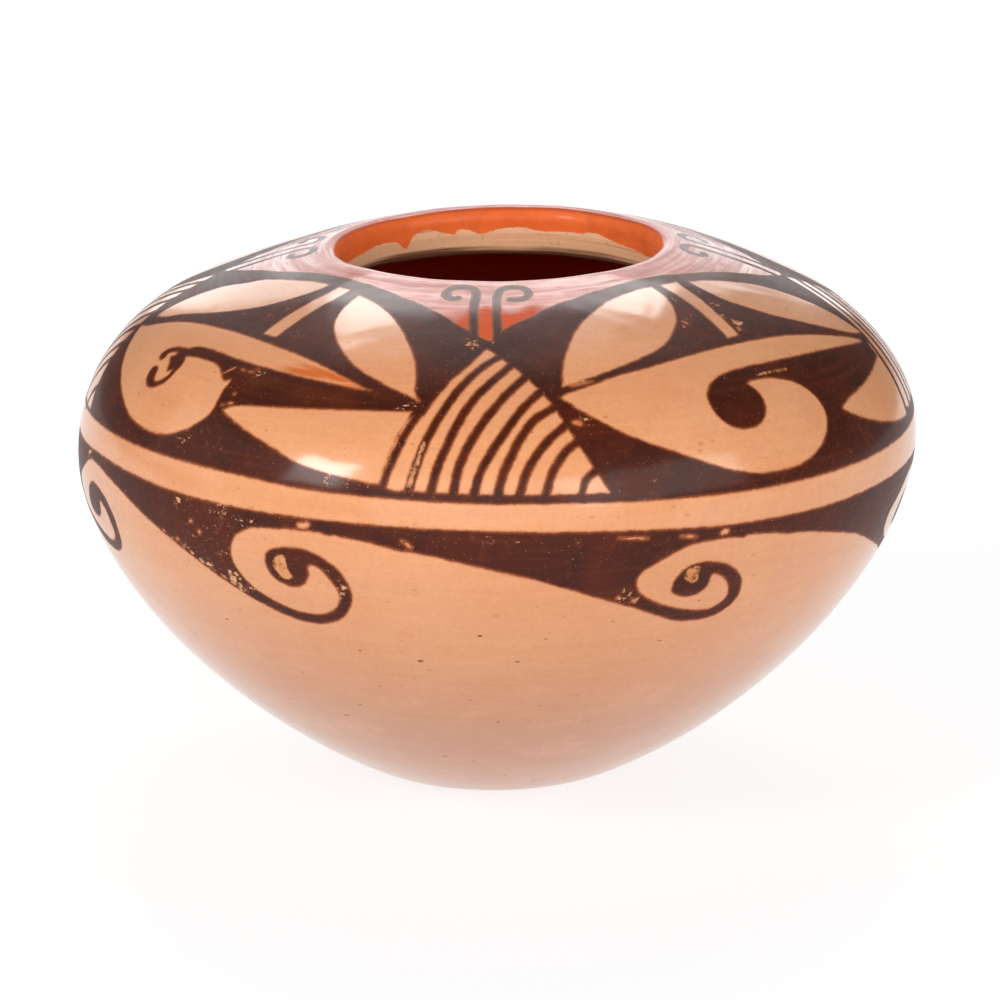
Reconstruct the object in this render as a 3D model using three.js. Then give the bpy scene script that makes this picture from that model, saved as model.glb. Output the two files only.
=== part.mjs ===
// A wide-shouldered, coil-built pottery jar with a small round mouth.
//
// The jar is hand built: a pinched, saucer-like base, then ropes of clay laid
// ring upon ring, and a last ring that makes the lip. Each ring is pressed
// down over the inside of the one below it, so every joint is a slanted lap.
// The rings meet face to face along those laps, as they do in the fired wall.
//
// Millimetres, +Z up, foot on z = 0, the front of the jar towards -Y.
import * as THREE from "three";
import { NURBSCurve } from "three/addons/curves/NURBSCurve.js";

// ---- driving dimensions --------------------------------------------------

// Control points (radius, height) of the outer profile, a clamped cubic
// B-spline from the edge of the flat foot to the outer edge of the lip.
const OUTER = [
  [28.8, 0.0],
  [32.7, 0.65],
  [47.5, 8.4],
  [64.7, 20.3],
  [86.0, 39.5],
  [102.4, 63.2],
  [109.0, 83.85],
  [105.8, 103.0],
  [91.6, 119.3],
  [76.4, 126.3],
  [58.9, 133.5],
  [44.8, 137.3],
];
const HEIGHT = 137.6; // crest of the lip before the rim's own tilt

// Wall thickness, square to the wall, at shares of the profile's length.
const THICKNESS = [
  [0.0, 8.2],
  [0.12, 7.5],
  [0.3, 6.9],
  [0.6, 6.4],
  [0.8, 6.2],
  [1.0, 5.2],
];
const FLOOR = 8.2; // clay under the middle of the inside floor

// The lip's own section, from its outer edge over the crest, down the upright
// inner face of the mouth, and round its lower edge.
const LIP = [
  [43.6, 137.6],
  [42.3, 137.1],
  [41.7, 135.8],
  [41.5, 132.8],
  [41.6, 129.2],
  [42.0, 126.4],
  [43.4, 124.5],
  [46.0, 123.9],
];
// From there the underside of the thick lip runs back to the wall.
const UNDER = [
  [50.3, 125.1],
  [54.4, 126.7],
];

const BASE_ARC = 27.0; // profile length that the pinched base takes
const COILS = 12; // ropes of clay between the base and the lip ring
const RIM_ARC = 12.0; // profile length of the lip ring
const LAP = 4.0; // how far each joint slants down towards the inside
const ROUND_STEPS = 56; // facets round the jar
const WALL_STEPS = 3; // facets along one ring, outside and inside

// The hand-built asymmetry: the shoulder stands a little off the foot's
// centre, and the lip is a little higher on one side.
const LEAN_TOP = 1.3; // sideways shift of the shoulder and mouth, towards +X
const LEAN_LOW = 0.35; // slight opposite bulge of the lower wall
const CENTRE = 0.77; // puts the widest outline's centre on the origin
const RIM_TILT = 0.0194; // rise of the lip towards +X, per millimetre
const TILT_FROM = 0.74; // share of the profile's length where the tilt starts

// ---- profile --------------------------------------------------------------

function outerCurve() {
  const degree = 3;
  const spans = OUTER.length - degree;
  const knots = [];
  for (let i = 0; i < degree; i++) knots.push(0);
  for (let i = 0; i <= spans; i++) knots.push(i / spans);
  for (let i = 0; i < degree; i++) knots.push(1);
  const curve = new NURBSCurve(
    degree,
    knots,
    OUTER.map(([r, z]) => new THREE.Vector4(r, z, 0, 1)),
  );
  curve.arcLengthDivisions = 4000;
  return curve;
}

const curve = outerCurve();
const LENGTH = curve.getLength();

function thickness(share) {
  for (let i = 1; i < THICKNESS.length; i++) {
    const [a, ta] = THICKNESS[i - 1];
    const [b, tb] = THICKNESS[i];
    if (share <= b) {
      const t = THREE.MathUtils.smoothstep(share, a, b);
      return ta + (tb - ta) * t;
    }
  }
  return THICKNESS[THICKNESS.length - 1][1];
}

// A point of the outer wall, s millimetres along the profile from the foot.
function outside(s) {
  const p = curve.getPointAt(Math.min(1, Math.max(0, s / LENGTH)));
  return new THREE.Vector2(p.x, p.y);
}

// The point of the inner wall straight behind it.
function inside(s) {
  const u = Math.min(1, Math.max(0, s / LENGTH));
  const p = curve.getPointAt(u);
  const t = curve.getTangentAt(u);
  const d = thickness(u);
  return new THREE.Vector2(p.x - t.y * d, p.y + t.x * d);
}

function along(fn, from, to, steps) {
  const points = [];
  for (let i = 0; i <= steps; i++) {
    const s = from + ((to - from) * i) / steps;
    const p = fn(s);
    p.arc = s + (fn === inside ? LAP : 0);
    points.push(p);
  }
  return points;
}

// ---- rings ----------------------------------------------------------------

function lean(z) {
  const h = z / HEIGHT;
  const top = LEAN_TOP * THREE.MathUtils.smoothstep(h, 0.52, 0.72);
  const low = h < 0.6 ? LEAN_LOW * Math.sin((Math.PI * h) / 0.6) ** 2 : 0;
  return top - low - CENTRE;
}

// The lip's tilt fades in over the upper part of the profile. Both edges of a
// joint take the same share, so its faces stay flat and the rings fit.
function tiltShare(arc) {
  return THREE.MathUtils.smoothstep(arc / LENGTH, TILT_FROM, 1.0);
}

// Turns a section in (radius, height) into a solid of revolution about Z and
// gives it the jar's lean and the tilt of its lip.
function turn(section) {
  const geometry = new THREE.LatheGeometry(section, ROUND_STEPS);
  geometry.rotateX(Math.PI / 2);
  const position = geometry.getAttribute("position");
  for (let i = 0; i < position.count; i++) {
    const x = position.getX(i);
    const z = position.getZ(i);
    const share = tiltShare(section[i % section.length].arc || 0);
    position.setX(i, x + lean(z));
    position.setZ(i, z + RIM_TILT * share * x);
  }
  geometry.computeVertexNormals();
  return geometry;
}

function mesh(name, section, colour, roughness) {
  const piece = new THREE.Mesh(
    turn(section),
    new THREE.MeshStandardMaterial({
      color: new THREE.Color(colour),
      roughness,
      metalness: 0,
    }),
  );
  piece.name = name;
  return piece;
}

const jar = new THREE.Group();
jar.name = "pottery_jar";

// Pinched base: flat foot, dished floor, and the start of the wall.
{
  const edge = inside(BASE_ARC - LAP);
  const start = inside(13);
  const slope = curve.getTangentAt(13 / LENGTH);
  const reach = 17;
  const floor = new THREE.CubicBezierCurve(
    start,
    new THREE.Vector2(
      start.x - slope.x * reach * 0.55,
      start.y - slope.y * reach * 0.55,
    ),
    new THREE.Vector2(start.x * 0.45, FLOOR),
    new THREE.Vector2(0, FLOOR),
  );
  const section = [
    new THREE.Vector2(0, 0),
    ...along(outside, 0, BASE_ARC, 6),
    edge,
    ...along(inside, BASE_ARC - LAP, 13, 2).slice(1),
    ...floor.getPoints(5).slice(1),
  ];
  jar.add(mesh("base_dish", section, 0xd59a70, 0.42));
}

// Wall coils, from the base up.
const step = (LENGTH - BASE_ARC - RIM_ARC) / COILS;
for (let i = 0; i < COILS; i++) {
  const low = BASE_ARC + step * i;
  const high = low + step;
  const section = [
    ...along(outside, low, high, WALL_STEPS),
    ...along(inside, high - LAP, low - LAP, WALL_STEPS),
  ];
  section.push(section[0]);
  const name = "wall_coil_" + String(i + 1).padStart(2, "0");
  const slip = i < 5 ? 0xdfa075 : i < 9 ? 0x7a4a35 : 0xb0604c;
  jar.add(mesh(name, section, slip, 0.36));
}

// Lip ring: the last coil, left thick and rounded over into the mouth.
{
  const low = LENGTH - RIM_ARC;
  const section = [
    ...along(outside, low, LENGTH, 2),
    ...LIP.map(([r, z]) => Object.assign(new THREE.Vector2(r, z), { arc: LENGTH })),
    ...UNDER.map(([r, z], i) =>
      Object.assign(new THREE.Vector2(r, z), {
        arc: LENGTH - (RIM_ARC * (i + 1)) / (UNDER.length + 1),
      }),
    ),
    ...along(inside, low - LAP, low - LAP, 1).slice(1),
  ];
  section.push(section[0]);
  jar.add(mesh("rim_coil", section, 0xc9583a, 0.34));
}

export default jar;
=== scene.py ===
"""A hand-built, painted clay jar: fine surfaces, slips, mineral paint, light and camera."""
import bpy
import math
import numpy as np
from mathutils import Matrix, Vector


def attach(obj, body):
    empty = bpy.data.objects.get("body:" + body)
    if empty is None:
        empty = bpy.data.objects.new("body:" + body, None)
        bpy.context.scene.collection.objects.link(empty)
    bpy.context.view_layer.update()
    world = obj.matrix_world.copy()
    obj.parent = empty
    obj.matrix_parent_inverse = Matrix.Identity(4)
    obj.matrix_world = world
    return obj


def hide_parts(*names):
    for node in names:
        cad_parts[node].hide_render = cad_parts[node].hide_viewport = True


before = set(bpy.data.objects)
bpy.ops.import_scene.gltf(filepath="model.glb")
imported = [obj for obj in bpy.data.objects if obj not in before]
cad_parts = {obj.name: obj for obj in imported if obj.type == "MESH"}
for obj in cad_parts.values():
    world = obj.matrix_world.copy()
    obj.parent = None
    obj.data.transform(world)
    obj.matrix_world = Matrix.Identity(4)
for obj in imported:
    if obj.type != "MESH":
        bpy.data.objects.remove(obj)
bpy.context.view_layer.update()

MM = 0.001
DEG = math.pi / 180

# ---------------------------------------------------------------------------
# Camera: a long lens, a little above the shoulder, square to the jar's front
# ---------------------------------------------------------------------------
ELEVATION = 14.709 * DEG
DISTANCE = 1.935
AIM = (0.000774, 0.0, 0.0688)
UP_SHIFT = 0.0005416

cam_data = bpy.data.cameras.new("Camera")
cam_data.sensor_width = 36.0
cam_data.sensor_fit = "HORIZONTAL"
cam_data.lens = 270.117
cam_data.clip_start = 0.05
cam_data.clip_end = 60.0
cam = bpy.data.objects.new("Camera", cam_data)
ce, se = math.cos(ELEVATION), math.sin(ELEVATION)
cam.location = (
    AIM[0],
    AIM[1] - DISTANCE * ce + UP_SHIFT * se,
    AIM[2] + DISTANCE * se + UP_SHIFT * ce,
)
cam.rotation_euler = (math.pi / 2 - ELEVATION, 0.0, 0.0)
bpy.context.scene.collection.objects.link(cam)
bpy.context.scene.camera = cam

# ---------------------------------------------------------------------------
# The jar's profile, in millimetres: the same wall as the frame's solids
# ---------------------------------------------------------------------------
OUTER = np.array([
    [28.8, 0.0], [32.7, 0.65], [47.5, 8.4], [64.7, 20.3], [86.0, 39.5], [102.4, 63.2],
    [109.0, 83.85], [105.8, 103.0], [91.6, 119.3], [76.4, 126.3], [58.9, 133.5], [44.8, 137.3],
])
HEIGHT = 137.6
THICKNESS = [(0.0, 8.2), (0.12, 7.5), (0.3, 6.9), (0.6, 6.4), (0.8, 6.2), (1.0, 5.2)]
FLOOR = 8.2
LIP = np.array([[43.4, 137.25], [42.1, 136.75], [41.1, 135.4], [40.75, 132.8], [40.9, 129.2], [41.5, 126.4],
                [43.2, 124.5], [46.0, 123.9]])
UNDER = np.array([[50.3, 125.1], [54.4, 126.7]])
BASE_ARC, COILS, RIM_ARC, LAP = 27.0, 12, 12.0, 4.0
LEAN_TOP, LEAN_LOW, CENTRE, RIM_TILT, TILT_FROM = 1.3, 0.35, 0.77, 0.0194, 0.74


def smooth01(x, a, b):
    t = np.clip((np.asarray(x, float) - a) / (b - a), 0.0, 1.0)
    return t * t * (3 - 2 * t)


def bspline(cp, u):
    """Clamped uniform cubic B-spline at u in 0..1, and its derivative."""
    n, k = len(cp), 3
    spans = n - k
    knots = np.concatenate([[0] * k, np.linspace(0, 1, spans + 1), [1] * k])
    span = np.clip((np.asarray(u) * spans).astype(int), 0, spans - 1) + k

    def level(points, degree, kn, index, x):
        d = [points[index - degree + j] for j in range(degree + 1)]
        for r in range(1, degree + 1):
            for j in range(degree, r - 1, -1):
                i = index - degree + j
                lo, hi = kn[i], kn[i + degree - r + 1]
                w = ((x - lo) / (hi - lo))[:, None]
                d[j] = (1 - w) * d[j - 1] + w * d[j]
        return d[degree]

    x = np.asarray(u, float)
    point = level(cp, k, knots, span, x)
    dp = np.array([k * (cp[i + 1] - cp[i]) / (knots[i + k + 1] - knots[i + 1]) for i in range(n - 1)])
    slope = level(dp, k - 1, knots[1:-1], span - 1, x)
    return point, slope


_u = np.linspace(0, 1, 8001)
_p, _d = bspline(OUTER, _u)
_arc = np.concatenate([[0], np.cumsum(np.hypot(*np.diff(_p, axis=0).T))])
LENGTH = float(_arc[-1])
STEP = (LENGTH - BASE_ARC - RIM_ARC) / COILS


def outer(s):
    p, d = bspline(OUTER, np.interp(s, _arc, _u))
    return p, d / np.linalg.norm(d, axis=1, keepdims=True)


def thickness(s):
    q = np.asarray(s, float) / LENGTH
    out = np.full(q.shape, THICKNESS[0][1])
    for (a, ta), (b, tb) in zip(THICKNESS[:-1], THICKNESS[1:]):
        out = np.where(q >= a, ta + (tb - ta) * smooth01(q, a, b), out)
    return out


def inner(s):
    p, t = outer(s)
    d = thickness(s)
    return np.column_stack([p[:, 0] - t[:, 1] * d, p[:, 1] + t[:, 0] * d])


def radius_at(s):
    return outer(np.clip(np.asarray(s, float), 0, LENGTH))[0][:, 0]


# One path of rows runs from the middle of the foot, up the outside, over the
# lip, down the inside and to the middle of the floor.
COLS = 1120
rows_r, rows_z, rows_arc, rows_tilt, rows_side = [], [], [], [], []


def add_rows(r, z, arc, tilt, side):
    first = len(rows_r)
    for i in range(len(r)):
        rows_r.append(float(r[i])); rows_z.append(float(z[i]))
        rows_arc.append(float(arc[i])); rows_tilt.append(float(tilt[i])); rows_side.append(float(side[i]))
    return first


outer_row, inner_row = {}, {}  # row numbers at the seams between rings


def key(s):
    return round(float(s), 3)


# foot, from the centre out
foot_r = np.array([0.0, 2.0, 5.0, 8.5, 12.0, 15.5, 19.0, 22.0, 24.5, 26.5, 27.9])
add_rows(foot_r, np.zeros(11), foot_r - 28.8, np.zeros(11), np.zeros(11))
# outside
seams = [0.0, BASE_ARC] + [BASE_ARC + STEP * (i + 1) for i in range(COILS)] + [LENGTH]
outer_counts = [22] + [12] * 4 + [24] * 8 + [22]
for i, n in enumerate(outer_counts):
    s = np.linspace(seams[i], seams[i + 1], n + 1)
    if i < len(outer_counts) - 1:
        s = s[:-1]
    p, _ = outer(s)
    first = add_rows(p[:, 0], p[:, 1], s, s, np.zeros(len(s)))
    outer_row[key(seams[i])] = first
outer_row[key(LENGTH)] = len(rows_r) - 1
# lip
p0, _ = outer(np.array([LENGTH - 1.2, LENGTH]))
pi = inner(np.array([LENGTH - 16.0, LENGTH - 17.2]))
ctrl = np.vstack([p0, LIP, UNDER, pi])


def catmull(points, per, closed=False):
    """Points on a centripetal-like curve through the given ones."""
    pts = np.asarray(points, float)
    if closed:
        pts = np.vstack([pts[-1], pts, pts[0], pts[1]])
    else:
        pts = np.vstack([2 * pts[0] - pts[1], pts, 2 * pts[-1] - pts[-2]])
    out = []
    for i in range(1, len(pts) - 2):
        a, b, c, d = pts[i - 1], pts[i], pts[i + 1], pts[i + 2]
        n = per if np.isscalar(per) else per[i - 1]
        t = (np.arange(n) / n)[:, None]
        lab, lbc, lcd = (max(1e-9, float(np.hypot(*(q - p)))) ** 0.5 for p, q in ((a, b), (b, c), (c, d)))
        m1 = (c - b) + lbc * ((b - a) / lab - (c - a) / (lab + lbc))
        m2 = (c - b) + lbc * ((d - c) / lcd - (d - b) / (lbc + lcd))
        out.append((2 * t**3 - 3 * t**2 + 1) * b + (t**3 - 2 * t**2 + t) * m1
                   + (-2 * t**3 + 3 * t**2) * c + (t**3 - t**2) * m2)
    if not closed:
        out.append(pts[-2][None])
    return np.vstack(out)


# from the outer edge, over the crest and down the upright face, to the joint under the lip
lip_curve = catmull(ctrl, [4, 4, 4, 4, 8, 9, 7, 6, 5, 5, 4, 4, 4])[4:-5]
lip_len = np.cumsum(np.hypot(*np.diff(lip_curve, axis=0).T))
lip_curve = lip_curve[1:]
lip_side = np.clip(lip_len / 4.0, 0, 1)
lip_tilt = LENGTH - RIM_ARC * smooth01(lip_curve[:, 0], 46.0, 58.4) * (lip_curve[:, 1] < 130)
LIP_FIRST = add_rows(lip_curve[:, 0], lip_curve[:, 1], LENGTH + lip_len, lip_tilt, lip_side)
# inside
inner_seams = [LENGTH - RIM_ARC - LAP] + [LENGTH - RIM_ARC - LAP - STEP * (i + 1) for i in range(COILS)]
inner_counts = [12, 10, 8, 6, 6, 5, 5, 5, 5, 5, 5, 5]
for i, n in enumerate(inner_counts):
    s = np.linspace(inner_seams[i], inner_seams[i + 1], n + 1)[:-1]
    p = inner(s)
    first = add_rows(p[:, 0], p[:, 1], s, s + LAP, np.ones(len(s)))
    inner_row[key(inner_seams[i])] = first
s = np.linspace(BASE_ARC - LAP, 13.0, 8)
p = inner(s)
inner_row[key(BASE_ARC - LAP)] = add_rows(p[:, 0], p[:, 1], s, s + LAP, np.ones(len(s)))
# floor
start = inner(np.array([13.0]))[0]
slope = outer(np.array([13.0]))[1][0]
b0, b1 = start, start - slope * 17 * 0.55
b2, b3 = np.array([start[0] * 0.45, FLOOR]), np.array([0.0, FLOOR])
t = np.linspace(0, 1, 19)[1:, None]
fl = (1 - t) ** 3 * b0 + 3 * t * (1 - t) ** 2 * b1 + 3 * t * t * (1 - t) * b2 + t**3 * b3
add_rows(fl[:, 0], fl[:, 1], 13 - np.arange(1, 19) * 2.0, np.zeros(18), np.ones(18))

R = np.array(rows_r); Z = np.array(rows_z); ARC = np.array(rows_arc)
TILT = np.array(rows_tilt); SIDE = np.array(rows_side)
ROWS = len(R)
AZ = np.arange(COLS) * 2 * math.pi / COLS  # 0 at the front, towards +X

# Hand-made unevenness: a sum of low waves, square to the wall, all the same
# for a given place, so that neighbouring rings still meet.
rng = np.random.default_rng(417)


def waves(kinds, share):
    """Sum of products of waves round the jar and along its profile, about -1..1."""
    out = np.zeros((ROWS, COLS))
    arc = np.clip(ARC, -30, LENGTH + 9)[:, None]
    total = 0.0
    for lap_lo, lap_hi, len_lo, len_hi, count, weight in kinds:
        for _ in range(count):
            m = int(rng.integers(lap_lo, lap_hi + 1))
            w = 2 * math.pi / rng.uniform(len_lo, len_hi)
            a, b, g = rng.uniform(0, 2 * math.pi, 3)
            out += weight * np.cos(m * AZ[None] + a + 0.4 * np.sin(w * arc * 0.5 + g)) * np.cos(w * arc + b)
            total += weight**2 * 0.25
    return out / math.sqrt(total) * share


body = waves([(2, 4, 70, 140, 5, 1.0), (5, 9, 35, 70, 8, 0.45), (10, 18, 18, 34, 10, 0.16)], 0.055)
touch = waves([(24, 60, 7, 13, 14, 1.0)], 0.006)
inside_marks = waves([(0, 2, 2.6, 7.5, 12, 1.0), (3, 9, 8, 24, 10, 0.8), (14, 30, 9, 20, 8, 0.5)], 0.10)
fade_foot = smooth01(ARC, 3.0, 22.0)[:, None]
lift = np.where(SIDE[:, None] < 0.5, (body + touch) * fade_foot, 0.0)
lift += np.where(SIDE[:, None] >= 0.5, inside_marks * smooth01(ARC, -20, 15)[:, None], 0.0)
# the lip: a finger-smoothed edge that isn't quite even
lip_share = smooth01(ARC, LENGTH - 9, LENGTH + 1) * (SIDE < 0.5) + (SIDE >= 0.5) * (ARC > LENGTH) * smooth01(-R, -58.0, -48.0)
lip_up = (0.16 * np.cos(2 * AZ + 0.7) + 0.12 * np.cos(3 * AZ + 2.1) + 0.08 * np.cos(5 * AZ + 4.0)
          + 0.05 * np.cos(9 * AZ + 1.2) + 0.03 * np.cos(17 * AZ + 3.0))
lip_in = (0.20 * np.cos(2 * AZ + 2.9) + 0.16 * np.cos(3 * AZ + 5.1) + 0.10 * np.cos(4 * AZ + 1.0)
          + 0.05 * np.cos(11 * AZ + 0.3))
on_lip = ARC > LENGTH
lift[on_lip] *= (0.45 * smooth01(SIDE[on_lip], 0.6, 1.0) * smooth01(-R[on_lip], -58.0, -50.0))[:, None]


def place(r, z, tilt, az):
    x = r * np.sin(az)
    y = -r * np.cos(az)
    h = z / HEIGHT
    lean = LEAN_TOP * smooth01(h, 0.52, 0.72) - np.where(h < 0.6, LEAN_LOW * np.sin(math.pi * h / 0.6) ** 2, 0) - CENTRE
    return np.stack([x + lean, y, z + RIM_TILT * smooth01(tilt / LENGTH, TILT_FROM, 1.0) * x], -1)


# the profile's outward normal at each row
dr = np.gradient(R); dz = np.gradient(Z)
ln = np.hypot(dr, dz) + 1e-12
nr, nz = dz / ln, -dr / ln
nr[0], nz[0] = 0, -1
nr[-1], nz[-1] = 0, 1
RR = R[:, None] + nr[:, None] * lift
ZZ = Z[:, None] + nz[:, None] * lift
RR = RR + lip_share[:, None] * (lip_in[None] * (0.35 + 0.65 * smooth01(SIDE, 0.0, 0.8))[:, None])
deep = smooth01(-Z, -132.0, -125.0) * on_lip  # the lower edge of the upright face wanders more
ZZ = ZZ + lip_share[:, None] * (lip_up[None] + deep[:, None] * (0.55 * np.cos(AZ + 1.9) + 0.3 * np.cos(3 * AZ + 0.4))[None])
RR[0] = 0.0; RR[-1] = 0.0; ZZ[0] = 0.0; ZZ[-1] = FLOOR
P = place(RR, ZZ, TILT[:, None] + 0 * RR, AZ[None] + 0 * RR) * MM  # (rows, cols, 3)

# smooth normals on the whole path grid
da = np.roll(P, -1, 1) - np.roll(P, 1, 1)
ds = np.empty_like(P)
h1 = np.linalg.norm(P[1:-1] - P[:-2], axis=2, keepdims=True) + 1e-9
h2 = np.linalg.norm(P[2:] - P[1:-1], axis=2, keepdims=True) + 1e-9
ds[1:-1] = (h1 * h1 * (P[2:] - P[1:-1]) + h2 * h2 * (P[1:-1] - P[:-2])) / (h1 * h2 * (h1 + h2))
ds[0] = P[1] - P[0]; ds[-1] = P[-1] - P[-2]
NRM = np.cross(da, ds)
NRM /= np.linalg.norm(NRM, axis=2, keepdims=True) + 1e-20
NRM[0] = (0, 0, -1); NRM[-1] = (0, 0, 1)

# ---------------------------------------------------------------------------
# Painted ornament. Every shape is drawn in (degrees round the jar, mm along
# the profile from the foot); each becomes a distance in mm on the surface.
# ---------------------------------------------------------------------------
LO_ROW = int(np.argmax((SIDE < 0.5) & (ARC > 88.0)))
HI_ROW = outer_row[key(LENGTH)]
gs = ARC[LO_ROW:HI_ROW + 1]
ga = np.degrees(AZ); ga = np.where(ga >= 180, ga - 360, ga)
gr = radius_at(gs)
FAR = 6.0


def smooth_line(points, closed=False, pitch=0.7):
    """A smooth line through given points, at an even pitch in mm."""
    pts = np.asarray(points, float)
    n = len(pts)
    last = n if closed else n - 1
    per = []
    for i in range(last):
        a, b = pts[i], pts[(i + 1) % n]
        r = float(np.interp((a[1] + b[1]) / 2, gs, gr))
        per.append(max(1, int(math.ceil(math.hypot((b[0] - a[0]) * DEG * r, b[1] - a[1]) / pitch))))
    scaled = pts * [1.6, 1.0]
    return catmull(scaled, per, closed) / [1.6, 1.0]


def outline(*runs):
    """A closed outline from runs of points; the line has a corner between runs."""
    out = []
    for i, run in enumerate(runs):
        pts = list(run)
        nxt = runs[(i + 1) % len(runs)][0]
        if tuple(pts[-1]) != tuple(nxt):
            pts.append(nxt)
        out.append(smooth_line(pts)[:-1])
    return np.vstack(out)


def blocks(lo_a, hi_a, lo_s, hi_s, margin=3.2):
    """Pieces of the grid near a shape: (row slice, column numbers, degrees shifted)."""
    i0 = int(np.searchsorted(gs, lo_s - margin)); i1 = int(np.searchsorted(gs, hi_s + margin))
    if i1 <= i0:
        return
    pad = margin / (DEG * float(gr[i0:i1].min()))
    for shift in (-360.0, 0.0, 360.0):
        cols = np.nonzero((ga + shift >= lo_a - pad) & (ga + shift <= hi_a + pad))[0]
        if len(cols):
            yield slice(i0, i1), cols, ga[cols] + shift


def measure(points, closed, half=None):
    """Yields (rows, cols, distance) of one shape; closed shapes are negative inside,
    open lines have their half width taken off."""
    pts = np.asarray(points, float)
    lo, hi = pts.min(0), pts.max(0)
    for rows, cols, az in blocks(lo[0], hi[0], lo[1], hi[1]):
        A = np.repeat(az[None], rows.stop - rows.start, 0)
        S = np.repeat(gs[rows][:, None], len(cols), 1)
        K = np.repeat((gr[rows] * DEG)[:, None], len(cols), 1)
        best = np.full(A.shape, 1e9)
        odd = np.zeros(A.shape, bool)
        n = len(pts)
        for i in range(n if closed else n - 1):
            a0, s0 = pts[i]; a1, s1 = pts[(i + 1) % n]
            x0 = (a0 - A) * K; y0 = s0 - S
            dx = (a1 - a0) * K; dy = s1 - s0
            t = np.clip(-(x0 * dx + y0 * dy) / (dx * dx + dy * dy + 1e-12), 0, 1)
            q = (x0 + t * dx) ** 2 + (y0 + t * dy) ** 2
            if half is not None:
                w = half[i] + (half[min(i + 1, n - 1)] - half[i]) * t
                q = np.sqrt(q) - w
            best = np.minimum(best, q)
            if closed and (s0 != s1):
                hit = (s0 > S) != (s1 > S)
                odd ^= hit & (A < (a1 - a0) * (S - s0) / (s1 - s0) + a0)
        if half is None:
            best = np.sqrt(best)
        if closed:
            best = np.where(odd, -best, best)
        yield rows, cols, best


def field():
    return np.full((len(gs), COLS), FAR)


def put(into, points, closed=True, half=None):
    for rows, cols, d in measure(points, closed, half):
        into[rows, cols] = np.minimum(into[rows, cols], d)


def stroke(into, points, width, ends=None):
    """A brush line through points, width mm wide; ends gives the width at its two ends."""
    line = smooth_line(points)
    n = len(line)
    w = np.full(n, width / 2)
    if ends:
        f = np.minimum(1, np.arange(n) / 3.5); w = w * f + ends[0] / 2 * (1 - f)
        f = np.minimum(1, np.arange(n)[::-1] / 3.5); w = w * f + ends[1] / 2 * (1 - f)
    put(into, line, False, w)


def shifted(points, move=0.0, wide=1.0, about=0.0, up=0.0):
    p = np.asarray(points, float)
    return [((a - about) * wide + about + move, s + up) for a, s in p]


def each(runs, fn):
    return [fn(r) for r in runs]


# ---- the upper zone: four winged panels between four hatched gables ----

# upper edge of the dark border, where the red neck starts
T_LEFT = [(-98, 182), (-94, 185.8), (-90, 189), (-84, 193.5), (-80, 195.5), (-76, 197.7), (-70, 200.5), (-64, 202.7),
          (-58, 204), (-50, 204.5), (-44, 204.3), (-40, 204), (-36, 203.3), (-32, 202.4), (-26, 200.3), (-22, 198.8),
          (-18, 196.6), (-14, 193.8), (-12, 192.3), (-10, 189.9), (-8, 188), (-6.5, 186.6), (-4, 184), (-1.8, 182.4)]
T_RIGHT = [(-1.8, 182.4), (0.9, 186.9), (2.5, 188.6), (4, 189.9), (6, 191.3), (8, 193), (10, 194.7), (14, 197.2),
           (20, 199.4), (24, 200.8), (28, 201.7), (32, 202.5), (36, 203.1), (44, 203.6), (48, 203.3), (52, 202.7),
           (56, 201.6), (60, 200.2), (66, 198.1), (70, 196.1), (74, 193.6), (78, 190.5), (80, 188.8), (84, 185.5),
           (88, 183), (92, 179.7)]
WING_L1 = [[(-84, 163.6), (-84.4, 165.8), (-84.6, 170.2), (-84.4, 175.8), (-83.5, 180.2), (-82, 183.5), (-80, 186),
            (-78, 188.5), (-76, 191.4), (-72, 194.2), (-68, 196), (-64, 197.6), (-62, 198.4), (-58, 199.5), (-54, 200.1), (-52, 199.9)],
           [(-52, 199.9), (-52.8, 196.9), (-54, 194.1), (-56, 190.5), (-58, 187.4), (-60, 184.4), (-62.6, 181.6), (-66, 178.4),
            (-70, 174.9), (-73, 172.4), (-76, 170), (-78, 168), (-80, 165.8), (-82, 164.4)]]
BAR_L = [[(-48.05, 200.2)], [(-43.6, 200.2), (-44.1, 196.3), (-45, 191.9), (-45.7, 186.9), (-46, 181.9)],
         [(-46.05, 175.2)], [(-49.6, 175.3), (-50, 179.1), (-50, 184.7), (-49.5, 189.7), (-48.7, 194.9)]]
WING_L2 = [[(-39.2, 198.6), (-37.6, 198.1), (-35.5, 197.4), (-32, 196), (-30, 194.8), (-28, 193.4), (-26, 191.8), (-24, 189.7),
            (-22, 187.2), (-20, 184.1), (-18.5, 181.3), (-17, 178), (-16, 175.5), (-15, 172.4), (-14.3, 169.1),
            (-13.8, 165.8), (-13.4, 161.6), (-12.3, 158.7)],
           [(-12.3, 158.7), (-14, 160.2), (-16, 161.6), (-18, 163), (-20, 164.7), (-22, 166.1), (-24, 167.8), (-26, 169.7),
            (-28, 172.2), (-30, 174.7), (-32, 177.2), (-34.2, 180.4), (-36.5, 184.3), (-37.8, 187.4), (-38.7, 190.8), (-39.07, 194.1)]]
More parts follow.
